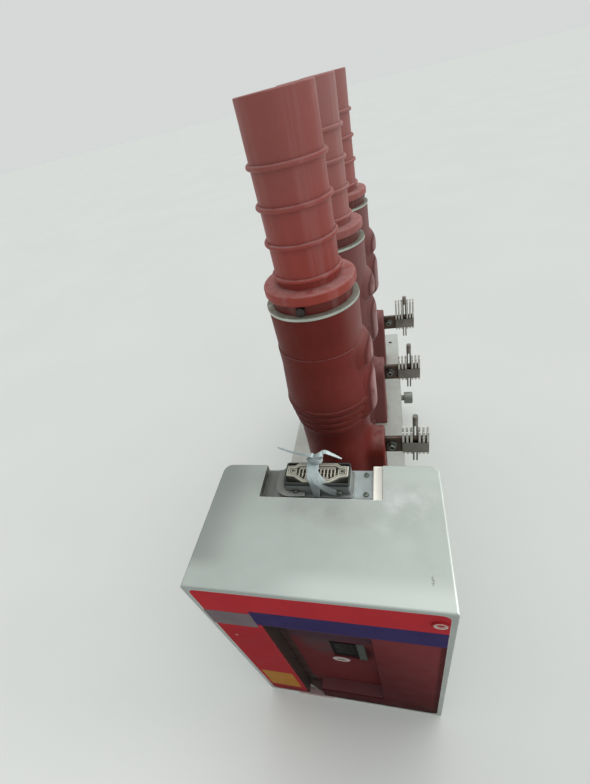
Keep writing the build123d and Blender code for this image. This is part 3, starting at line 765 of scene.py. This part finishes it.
def smooth_path(points, count):
    """Curve through the given points: their coordinates against chord length, as a natural cubic spline."""
    points = np.array(points, float)
    chord = np.concatenate([[0], np.cumsum(np.linalg.norm(np.diff(points, axis=0), axis=1))])
    gaps = np.diff(chord)
    size = len(points)
    system = np.eye(size)
    right = np.zeros_like(points)
    inner = np.arange(1, size - 1)
    system[inner, inner - 1] = gaps[:-1]
    system[inner, inner] = 2 * (gaps[:-1] + gaps[1:])
    system[inner, inner + 1] = gaps[1:]
    slope = np.diff(points, axis=0) / gaps[:, None]
    right[inner] = 6 * np.diff(slope, axis=0)
    bend = np.linalg.solve(system, right)
    at = np.linspace(0, chord[-1], count)
    span = np.clip(np.searchsorted(chord, at, side="right") - 1, 0, size - 2)
    t = (at - chord[span])[:, None]
    gap = gaps[span][:, None]
    first = slope[span] - gap * (2 * bend[span] + bend[span + 1]) / 6
    return points[span] + first * t + bend[span] * t**2 / 2 + (bend[span + 1] - bend[span]) * t**3 / (6 * gap)


def spread(values, count):
    """Rows of values drawn out evenly to count rows, each column straight between its neighbours."""
    values = np.array(values, float)
    given, wanted = np.linspace(0, 1, len(values)), np.linspace(0, 1, count)
    return np.array([np.interp(wanted, given, column) for column in values.T]).T


def ribbon(path, across, width, thickness, sides=12):
    """Point (u, v) is path(u) + across(u) width(u) / 2 c(v) + face(u) thickness(u) / 2 s(v).

    c and s are cos v and sin v raised to the powers 0.5 and 0.8, with their signs kept: a flattened round."""
    along = np.gradient(path, axis=0)
    along /= np.linalg.norm(along, axis=1, keepdims=True)
    across = across - (across * along).sum(axis=1, keepdims=True) * along
    across /= np.linalg.norm(across, axis=1, keepdims=True)
    angle = 2 * np.pi * np.arange(sides) / sides
    grid = path[:, None]
    for direction, size, wave, power in (
        (across, width, np.cos(angle), 0.5),
        (np.cross(along, across), thickness, np.sin(angle), 0.8),
    ):
        half = (np.broadcast_to(size, len(path)) / 2)[:, None, None]
        grid = grid + half * (np.sign(wave) * np.abs(wave) ** power)[None, :, None] * direction[:, None]
    return grid


def hex_outline(flats):
    """Hexagon of that width across its flats."""
    angle = np.pi / 3 * np.arange(6) + np.pi / 6
    return flats / math.sqrt(3) * np.stack([np.cos(angle), np.sin(angle)], axis=-1)


def from_front(x, y, z):
    """Part position in metres of a point given in millimetres from the fascia's plane."""
    return (x / 1000, front_y + y / 1000, z / 1000)


# Fittings


def screw_head(shell, place, radius, height):
    """Pan head: a flattened dome with a rim and a round well."""
    dome = [(0.35, 0.0), (1.0, 0.0), (1.0, 0.35), (0.93, 0.68), (0.72, 0.92), (0.4, 1.0), (0.22, 1.0)]
    well = [(0.18, 0.55), (0.05, 0.5)]
    shell.add(turned([(r * radius, h * height) for r, h in dome + well], 24), place)


class BREAKER_OT_finishes(Operator):
    """Gives every CAD node of the breaker its finish"""

    bl_idname = "breaker.finishes"
    bl_label = "Finishes"

    def execute(self, context):
        scene = context.scene
        paint, cast, bare = scene.breaker_paint, scene.breaker_resin, scene.breaker_metal
        finish = {
            "housing": housing_paint(paint),
            "chassis": chassis_paint(paint),
            "trim": trim_paint(paint),
            "fascia": fascia_paint(paint),
            "panel": panel_paint(paint),
            "tab": tab_paint(),
            "tube": tube_resin(cast),
            "barrel": barrel_resin(cast),
            "disc": disc_plating(tone(184, 190, 180)),
            "plate": plate_zinc(),
            "zinc": metal("zinc", bare.zinc, 0.3, 0.45, 0.5, tone(120, 116, 104)),
            "casting": metal("casting", bare.casting, 0.5, 0.65, 0.3, tone(96, 96, 94), metallic=0.35),
            "silver": metal("silver", bare.silver, 0.4, 0.56, 0.4, tone(140, 136, 120), (1.0, 1.0, 0.1), metallic=0.15),
            "copper": metal("copper", bare.copper, 0.38, 0.55, 0.7, tone(58, 46, 40), (0.1, 1.0, 1.0)),
            "spring": metal("spring", bare.spring, 0.4, 0.55, 0.5, tone(92, 88, 78), metallic=0.35),
            "rubber": plastic("rubber", bare.rubber, 0.62, 0.3, specular=0.1),
            "screw": metal("screw", tone(112, 120, 114), 0.4, 0.55, 0.4, tone(92, 92, 82), metallic=0.6),
            "stud": metal("stud", tone(124, 126, 120), 0.36, 0.5, 0.5, tone(96, 92, 82), metallic=0.7),
            "insert": insert_plastic(bare.insert),
            "plug": plug_paint(paint),
        }
        worn_by = {
            "mechanism_housing": "housing",
            "front_fascia": "fascia",
            "control_panel": "panel",
            "indicator_window": "rubber",
            "corner_tab": "tab",
            "fascia_plug": "plug",
            "connector_plate": "plate",
            "notch_trim": "trim",
            "connector_hood": "casting",
            "connector_seal": "rubber",
            "connector_insert": "insert",
            "strap_tie": "insert",
            "guide_studs": "stud",
            "finger_cages": "spring",
            "spring_pins": "spring",
            "chassis": "chassis",
            "barrel": "barrel",
            "tube_flange": "tube",
            "upper_tube": "tube",
            "clamp_disc": "disc",
            "upper_contact": "silver",
            "contact_fingers": "silver",
            "terminal_bar": "copper",
        }
        for name, node in nodes.items():
            key = next(kind for start, kind in worn_by.items() if name.startswith(start))
            node.data.materials.clear()
            node.data.materials.append(finish[key])
        for key, material in finish.items():
            material["finish"] = key
        return {"FINISHED"}


def finish_of(key):
    """The material made for that finish."""
    for material in bpy.data.materials:
        if material.get("finish") == key:
            return material
    raise RuntimeError(f"the finish {key} hasn't been made yet")


class BREAKER_OT_labels(Operator):
    """Lays the blank labels, the grey plate and the oval tag on the front and its panel, and a dark sheet of painted
    shade low in the slot
    """

    bl_idname = "breaker.labels"
    bl_label = "Front labels"

    def execute(self, context):
        yellow = plastic("yellow_label", tone(164, 112, 40), 0.5, 0.4, specular=0.02)
        grey = plastic("grey_plate", context.scene.breaker_paint.patch, 0.5, 0.3, specular=0.02)
        white = plastic("white_tag", tone(176, 164, 160), 0.5, 0.3, specular=0.02)
        pink = plastic("pink_dot", tone(176, 104, 102), 0.5, 0.3, specular=0.02)
        middle = plastic("grey_middle", tone(122, 108, 104), 0.5, 0.3, specular=0.02)
        sheet = plastic("slot_sheet", tone(92, 74, 70), 0.6, 0.0, specular=0.01)
        film = [(0.0, -0.0003), (0.0, 0.0002), (0.0002, 0.0004)]
        for name, x, z, width, height, radius, material in (
            ("yellow_label", -0.137, 0.101, 0.066, 0.102, 0.002, yellow),
            ("grey_plate", -0.1405, 0.4415, 0.077, 0.055, 0.001, grey),
        ):
            shape = walled(rounded_outline(width, height, radius), film)
            single(name, shape, upright(x, front_y, z), material, "fascia_paint")
        oval_place = upright(0.0024, front_y + 0.023, 0.213)
        for name, profile, flatness, material in (
            ("oval_tag", [(0.0168, -0.0003), (0.0168, 0.0008), (0.0161, 0.0012)], 0.7, white),
            ("oval_middle", [(0.0088, 0.0010), (0.0088, 0.0013), (0.0082, 0.0015)], 0.5, middle),
        ):
            single(name, turned(profile, 40) * (1.0, flatness, 1.0), oval_place, material, "panel_paint")
        # Dark sheet low in the slot, put there as painted shade.
        slanting = np.array([(0.0186, 0.0093), (-0.0186, 0.0093), (-0.0186, 0.0010), (0.0186, -0.0125)])
        foot = walled(slanting, [(0.0, 0.0), (0.0, 0.0010), (0.0003, 0.0013)])
        single("slot_shade_foot", foot, lying(-0.0762, front_y + 0.0165, 0.0022), sheet, "housing_paint")
        dot = turned([(0.0034, -0.0002), (0.0034, 0.0006), (0.003, 0.0010)], 24)
        single("front_dot", dot, upright(-0.156, front_y, 0.365), pink, "fascia_paint")
        return {"FINISHED"}


class BREAKER_OT_window(Operator):
    """Builds the dark window with its grey block in place of the plain one"""

    bl_idname = "breaker.window"
    bl_label = "Indicator window"

    def execute(self, context):
        glass = Finish("window_glass")
        glass.bump((glass.noise(8.0, 2.0), 0.0006))
        glass.ground = glass.cloudy(tone(18, 16, 15), 40.0, 0.3)
        rough = glass.step(glass.noise(50.0), 0.3, 0.7, 0.25, 0.4)
        glass = glass.made(Roughness=rough, Specular_IOR_Level=0.01)
        block = plastic("window_block", tone(76, 80, 77), 0.55, 0.3, specular=0.02)
        surround = plastic("window_surround", tone(38, 32, 31), 0.6, 0.0, specular=0.01)
        rim = [(0.0, 0.0), (0.0, 0.0032), (0.0008, 0.004), (0.0034, 0.004), (0.0040, 0.0030), (0.0044, 0.0012)]
        inside = [(0.0045, 0.0012), (0.0045, 0.0024), (0.0062, 0.0030)]
        side = [(0.0, 0.0), (0.0, 0.0030), (0.0010, 0.0040), (0.0030, 0.0040), (0.0034, 0.0034), (0.0060, 0.0034)]
        pieces = {}
        for name, (left, right), (foot, head), profile, material in (
            ("window_bezel", (-0.008, 0.038), (0.240, 0.306), rim, surround),
            ("window_pane", (-0.008, 0.038), (0.240, 0.306), inside, glass),
            ("window_block", (0.0384, 0.053), (0.228, 0.311), side, block),
        ):
            place = upright((left + right) / 2, window_high.y, (foot + head) / 2)
            shape = walled(square(right - left, head - foot), profile)
            pieces[name] = single(name, shape, place, material, "window_plastic")
        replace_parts(pieces["window_bezel"], "indicator_window")
        return {"FINISHED"}


class BREAKER_OT_connector(Operator):
    """Builds the connector's insert with its two rows of sockets, its shelves and its earth terminals with their screws
    """

    bl_idname = "breaker.connector"
    bl_label = "Connector"

    def execute(self, context):
        sizes = context.scene.breaker_connector
        centre_x = (insert_low.x + insert_high.x) / 2
        centre_y = (insert_low.y + insert_high.y) / 2
        half_x, half_y = (insert_high.x - insert_low.x) / 2, (insert_high.y - insert_low.y) / 2
        top = insert_high.z
        base = lying(centre_x, centre_y, top)
        half = [(1.0, -0.35), (1.0, 0.70), (0.75, 0.73), (0.635, 1.0)]
        foot = [(0.43, -1.0), (0.742, -0.43)]
        outline = half + [(-x, y) for x, y in half[::-1]] + [(-x, y) for x, y in foot[::-1]] + foot
        outline = np.array(outline) * (half_x, half_y)
        rim = sizes.rim
        profile = [
            (0.0, insert_low.z - top),
            (0.0, -0.0009),
            (0.0009, 0.0),
            (rim * 0.40, 0.0),
            (rim * 0.46, -0.0010),
            (rim * 0.60, -0.0010),
            (rim * 0.66, 0.0),
            (rim - 0.0006, 0.0),
            (rim, -0.0008),
            (rim, -0.0062),
        ]
        rim_piece = single("connector_rim", walled(outline, profile), base, finish_of("insert"), "insert_plastic")
        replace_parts(rim_piece, "connector_insert")
        field = plastic("socket_field", tone(44, 44, 40), 0.6, 0.6)
        shelf = plastic("socket_shelf", tone(146, 142, 134), 0.55, 0.6)
        brass = metal("socket_contact", tone(116, 104, 76), 0.4, 0.5, 0.4, tone(70, 62, 44))
        floor_shape = walled(outline, [(rim - 0.0002, -0.0066), (rim - 0.0002, -0.0056), (rim + 0.0008, -0.0054)])
        single("socket_field", floor_shape, base, field, "insert_plastic")

        def block(shell, x, low, high, width, level):
            """Bar from low to high along the depth, its top at that level."""
            bar = [(0.0, -0.0056), (0.0, level - 0.0003), (0.0003, level)]
            place = lying(centre_x + x, centre_y + (low + high) / 2, top)
            shell.add(walled(square(width, high - low), bar), place)

        def front_end(x):
            """Front end of the sockets at x: straight, then slanting with the rim."""
            return max(-0.0082, -0.0150 + 0.66 * (abs(x) - 0.0165))

        ribs, shelves, contacts = Shell(), Shell(), Shell()
        reach = sizes.ways * sizes.pitch / 2
        for x in (np.arange(sizes.ways + 1) - sizes.ways / 2) * sizes.pitch:
            block(ribs, x, front_end(x), 0.0072, 0.0021, -0.0012)
        for x in (np.arange(sizes.ways) - (sizes.ways - 1) / 2) * sizes.pitch:
            for row in (-1, 1):
                middle = -0.0002 + row * sizes.rows / 2
                if middle > front_end(abs(x) + sizes.pitch / 2) + 0.002:
                    block(contacts, x, middle - 0.0018, middle + 0.0018, 0.0013, -0.0036)
        block(ribs, 0.0, -0.0007, 0.0003, 2 * reach, -0.0030)
        block(shelves, 0.0, 0.0070, 0.0124, 2 * reach - 0.010, -0.0016)
        block(shelves, 0.0, -0.0128, -0.0080, 0.040, -0.0016)
        ribs.piece("socket_ribs", finish_of("insert"), "insert_plastic")
        shelves.piece("socket_shelves", shelf, "insert_plastic")
        contacts.piece("socket_contacts", brass, "insert_plastic")
        ends, screws = Shell(), Shell()
        box_wall = [(0.0, -0.0056), (0.0, -0.0012), (0.0004, -0.0008)]
        box_well = [(0.0010, -0.0008), (0.0013, -0.0013), (0.0014, -0.0040)]
        for side in (-1, 1):
            middle = (centre_x + side * (half_x - rim - 0.0048), centre_y + 0.0031)
            ends.add(walled(square(0.0078, 0.0080), box_wall + box_well), lying(*middle, top))
            screw_head(screws, lying(*middle, top - 0.0042), 0.0022, 0.0018)
        ends.piece("earth_terminals", finish_of("insert"), "insert_plastic")
        screws.piece("earth_screws", finish_of("zinc"), "plated_steel")
        return {"FINISHED"}


class BREAKER_OT_foot(Operator):
    """Adds the connector's foot, its pegs, the folded lever and the screws of the plate"""

    bl_idname = "breaker.foot"
    bl_label = "Connector foot, lever and screws"

    def execute(self, context):
        sizes = context.scene.breaker_connector
        centre_x = (hood_low.x + hood_high.x) / 2
        centre_y = (hood_low.y + hood_high.y) / 2
        width, depth = hood_high.x - hood_low.x, hood_high.y - hood_low.y
        base_z = hood_low.z
        wider = 0.010
        foot = walled(
            rounded_outline(width + wider, depth + wider, 0.008),
            [(0.0, 0.0), (0.0, 0.0024), (0.0008, 0.0032), (0.0040, 0.0034), (0.0046, 0.0060)],
        )
        Shell().add(foot, lying(centre_x, centre_y, base_z), close_last=False).piece(
            "connector_foot", finish_of("casting"), "cast_metal"
        )
        pegs = Shell()
        stem = [(0.0034, -0.001), (0.0034, 0.0026), (0.0030, 0.0030)]
        head = [(0.0048, 0.0031), (0.0048, 0.0042), (0.0042, 0.0047)]
        for side in (-1, 1):
            for x in (-0.036, 0.036):
                place = upright(centre_x + x, centre_y + side * depth / 2, base_z + 0.0105, side)
                pegs.add(turned(stem + head, 20), place)
        pegs.piece("lever_pegs", finish_of("zinc"), "cast_metal")
        lever = plastic("lever_steel", tone(118, 120, 116), 0.42, 0.4)
        # Position in millimetres from the fascia's plane, direction of the width in plan, width in millimetres
        course = [
            (-27, 161.2, 544.6, 0, 1, 8.5),
            (-46, 160.6, 544.8, 0, 1, 9.5),
            (-61, 162.5, 545.6, 0.35, 1, 11.5),
            (-69.5, 171.0, 547.4, 1, 0.55, 14.0),
            (-70.0, 186.0, 549.0, 1, 0, 13.5),
            (-69.5, 200.0, 547.4, 1, -0.5, 10.5),
            (-62, 211.0, 545.6, 0.4, -1, 9.0),
            (-46, 214.4, 544.8, 0, -1, 8.5),
            (-27, 214.0, 544.6, 0, -1, 8.5),
        ]
        count = 96
        path = smooth_path([from_front(*point[:3]) for point in course], count)
        shape = spread([point[3:] for point in course], count)
        leaning = np.concatenate([shape[:, :2], np.zeros((count, 1))], axis=1)
        band = ribbon(path, leaning, shape[:, 2] * sizes.lever / 1000, 0.0024)
        single("connector_lever", band, None, lever, "cast_metal")
        screws = Shell()
        for x in (-0.0708, 0.0708):
            for y in (0.1694, 0.2073):
                screw_head(screws, lying(x, front_y + y, plate_high.z), 0.0046, 0.0026)
        screws.piece("plate_screws", finish_of("screw"), "plated_steel")
        return {"FINISHED"}


class BREAKER_OT_strap(Operator):
    """Ties the pale plastic strap over the connector, with its knot, its tails and its loose strands"""

    bl_idname = "breaker.strap"
    bl_label = "Strap"

    def execute(self, context):
        sizes = context.scene.breaker_connector
        strap = strap_plastic(context.scene.breaker_metal.strap)
        shell = Shell()
        thick = sizes.strap_thickness

        def run(points, width, count, side, thickness=thick):
            """Adds a ribbon through the points, its widths and the directions of its width spread along it."""
            path = smooth_path([from_front(*point) for point in points], count)
            share = np.linspace(0, 1, count)
            across = spread(side, count)
            span = np.interp(share, np.linspace(0, 1, len(width)), width) / 1000
            wobble = 1 + 0.04 * np.sin(share * 31.0) + 0.03 * np.sin(share * 53.0 + 1.0)
            shell.add(ribbon(path, across, span * wobble, thickness))

        run(
            [(-15.5, 214.5, 540), (-15, 214, 556), (-14.5, 211, 569), (-13, 204, 575), (-12.5, 190, 575.5),
             (-10.5, 176, 575), (-8.5, 168.5, 572), (-7.5, 164.8, 562), (-7.5, 162, 550), (-8, 160, 539.5)],
            (12, 14, 17, 19, 19.5, 20, 19, 17, 13, 11),
            90,
            [(1, 0, 0)],
        )
        run(
            [(-9, 179, 576.4), (-4, 171, 574.2), (2.5, 167, 567), (10.5, 165.2, 557), (18, 164.4, 548.5),
             (25, 163.4, 542.8)],
            (16, 17, 16.5, 15.5, 14, 10),
            60,
            [(1, 0.35, 0), (0.6, 0.5, 0.5), (0.3, 0.35, 0.95), (0, 0.3, 1)],
        )
        run(
            [(-13, 203, 575), (-17.5, 204, 583), (-17, 201, 592), (-12, 199, 597), (-8, 200, 592), (-3, 199.5, 596),
             (3.5, 201, 597), (5, 204.5, 590), (1, 206.5, 581), (-8, 205, 577)],
            (17, 13, 10, 8, 8, 8, 8, 8, 10, 13),
            110,
            [(1, 0, 0), (0.8, 0.6, 0.2), (0.4, 1, 0.3), (0.2, 1, 0.4), (0.1, 1, 0.3), (0.3, 1, 0)],
        )
        run(
            [(-19, 200, 582), (-14, 197, 585), (-7, 195.5, 585), (-1, 197, 582.5), (3, 202, 580)],
            (9, 11, 12, 10, 8),
            50,
            [(0, 0.2, 1), (0, -0.2, 1)],
        )
        run(
            [(-3, 202, 589), (2, 203.5, 596), (7, 205, 598), (16, 207, 592), (26, 209, 582), (33, 210.5, 574.5)],
            (6, 6.5, 6.5, 5.5, 4.5, 2.6),
            60,
            [(0.1, 1, 0.2), (0, 1, 0.5), (0, 1, 0.1)],
            thick * 0.9,
        )
        run(
            [(-13, 202, 588), (-22, 206, 588), (-38, 212, 585.5), (-58, 219.5, 583.5), (-79, 229, 582)],
            (6, 4.6, 3.8, 3.2, 2.6),
            60,
            [(0, 1, 0.3), (0.2, 0.6, 0.8), (0, 1, 0.2)],
            thick * 0.8,
        )
        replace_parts(shell.piece("strap", strap, "strap_plastic", 60.0), "strap_tie")
        return {"FINISHED"}


class BREAKER_OT_bolts(Operator):
    """Puts the cap screws on the terminal bars and the clamp screws on the tube necks"""

    bl_idname = "breaker.bolts"
    bl_label = "Bolts"

    def execute(self, context):
        heads, washers, nuts, clamps = Shell(), Shell(), Shell(), Shell()
        cap = turned(
            [(0.002, 0.0), (0.0064, 0.0), (0.0066, 0.0004), (0.0066, 0.0072), (0.0060, 0.0080), (0.0040, 0.0080),
             (0.0038, 0.0077)],
            28,
        )
        well = turned([(0.0038, 0.0077), (0.0036, 0.0040), (0.0005, 0.0036)], 6)
        washer = turned(
            [(0.004, 0.0), (0.0092, 0.0), (0.0096, 0.0003), (0.0096, 0.0017), (0.0092, 0.0020), (0.0062, 0.0020)], 28
        )
        nut = walled(
            hex_outline(0.013), [(0.0, 0.0), (0.0, 0.0058), (0.0009, 0.0066), (0.0030, 0.0066), (0.0034, 0.0060)]
        )
        thread = turned([(0.004, 0.004), (0.004, 0.0095), (0.0034, 0.0102)], 20)
        for name in poles:
            low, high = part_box(f"terminal_bar_{name}")
            bolt_x, bolt_z = low.x + 0.0125, (low.z + high.z) / 2 + 0.002
            for side, y in ((-1, low.y), (1, high.y)):
                washers.add(washer, upright(bolt_x, y, bolt_z, side))
                outer = upright(bolt_x, y + side * 0.002, bolt_z, side)
                if side < 0:
                    heads.add(cap, outer, close_last=False)
                    heads.add(well, outer, close_first=False)
                else:
                    nuts.add(nut, outer)
                    nuts.add(thread, outer)
        heads.piece("bar_screws", finish_of("zinc"), "plated_steel")
        washers.piece("bar_washers", finish_of("zinc"), "plated_steel")
        nuts.piece("bar_nuts", finish_of("zinc"), "plated_steel")
        dark_steel = metal("dark_steel", tone(62, 54, 50), 0.4, 0.55, 0.5, tone(44, 36, 32), metallic=0.5)
        clamp = walled(hex_outline(0.012), [(0.0, -0.001), (0.0, 0.0058), (0.0007, 0.0066), (0.0036, 0.0066)])
        neck = 0.0594
        for name in poles:
            low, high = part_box(f"tube_flange_{name}")
            centre_x, centre_y = (low.x + high.x) / 2, (low.y + high.y) / 2
            for turn in (-96.0, 24.0, 144.0):
                angle = math.radians(turn)
                x, y = math.cos(angle), math.sin(angle)
                spot = (centre_x + neck * x, centre_y + neck * y, low.z + 0.008)
                clamps.add(clamp, facing(spot, (-y, x, 0), (0, 0, 1)))
        clamps.piece("clamp_screws", dark_steel, "plated_steel")
        return {"FINISHED"}


class BREAKER_OT_stage(Operator):
    """Sets the plain floor, the soft light and the camera"""

    bl_idname = "breaker.stage"
    bl_label = "Floor, light and camera"

    def execute(self, context):
        scene = context.scene
        stage = scene.breaker_stage
        span, under = 30.0, -0.0004
        corners = [(-span, -span, under), (span, -span, under), (span, span, under), (-span, span, under)]
        mesh = bpy.data.meshes.new("floor")
        mesh.from_pydata(corners, [], [[0, 1, 2, 3]])
        mesh.materials.append(floor_paint(stage.floor))
        plane = bpy.data.objects.new("floor", mesh)
        scene.collection.objects.link(plane)
        scene.world = studio_world(stage.sky)

        def lamp(name, kind, place, aim, **values):
            """Lamp at place that shines along aim."""
            data = bpy.data.lights.new(name, kind)
            for key, value in values.items():
                setattr(data, key, value)
            back = -np.array(aim, float) / np.linalg.norm(aim)
            side = np.cross((0.0, 0.0, 1.0), back)
            side /= np.linalg.norm(side)
            turn = np.eye(4)
            turn[:3, :3] = np.stack([side, np.cross(back, side), back], axis=1)
            turn[:3, 3] = place
            made = bpy.data.objects.new(name, data)
            made.matrix_world = Matrix(turn.tolist())
            scene.collection.objects.link(made)

        warm = (1.0, 0.995, 0.98)
        lamp("key_light", "SUN", (0, 0, 0), (-0.30, -0.38, -0.87), energy=stage.key, angle=math.radians(50), color=warm)
        place, target = np.array((0.95, -0.25, 0.86)), (0.10, -0.45, 0.57)
        size = {"shape": "RECTANGLE", "size": 0.3, "size_y": 0.3, "spread": math.radians(40)}
        lamp("side_light", "AREA", place, target - place, energy=stage.side, **size)
        camera = bpy.data.objects.new("camera", bpy.data.cameras.new("camera"))
        camera.data.sensor_width = 36.0
        camera.data.lens = stage.lens
        camera.data.clip_start, camera.data.clip_end = 0.02, 100.0
        right = (0.9647229, 0.16809902, -0.20261404)
        above = (0.04344176, 0.65741932, 0.75227166)
        behind = (0.25965851, -0.7345356, 0.62692496)
        view = np.eye(4)
        view[:3, :3] = np.stack([right, above, behind], axis=1)
        view[:3, 3] = from_front(124.4176, -183.3955, 1058.6331)
        camera.matrix_world = Matrix(view.tolist())
        scene.collection.objects.link(camera)
        scene.camera = camera
        scene.view_settings.view_transform = "Standard"
        return {"FINISHED"}


class BREAKER_PT_panel(Panel):
    """Lists the steps of the breaker and their settings"""

    bl_idname = "BREAKER_PT_panel"
    bl_label = "Vacuum circuit breaker"
    bl_space_type = "VIEW_3D"
    bl_region_type = "UI"
    bl_category = "Breaker"

    def draw(self, context):
        layout = self.layout
        for step in steps:
            layout.operator(step.bl_idname)
        for attribute, group in settings.items():
            box = layout.box()
            values = getattr(context.scene, attribute)
            for field in group.__annotations__:
                box.prop(values, field)


steps = (
    BREAKER_OT_finishes,
    BREAKER_OT_labels,
    BREAKER_OT_window,
    BREAKER_OT_connector,
    BREAKER_OT_foot,
    BREAKER_OT_strap,
    BREAKER_OT_bolts,
    BREAKER_OT_stage,
)
settings = {
    "breaker_paint": PaintSettings,
    "breaker_resin": ResinSettings,
    "breaker_metal": MetalSettings,
    "breaker_connector": ConnectorSettings,
    "breaker_stage": StageSettings,
}


def register():
    for group in settings.values():
        bpy.utils.register_class(group)
    for attribute, group in settings.items():
        setattr(bpy.types.Scene, attribute, PointerProperty(type=group))
    for step in steps:
        bpy.utils.register_class(step)
    bpy.utils.register_class(BREAKER_PT_panel)


def unregister():
    bpy.utils.unregister_class(BREAKER_PT_panel)
    for step in reversed(steps):
        bpy.utils.unregister_class(step)
    for attribute in settings:
        delattr(bpy.types.Scene, attribute)
    for group in settings.values():
        bpy.utils.unregister_class(group)


def main():
    register()
    for step in steps:
        section, action = step.bl_idname.split(".")
        getattr(getattr(bpy.ops, section), action)()


if __name__ == "__main__":
    main()
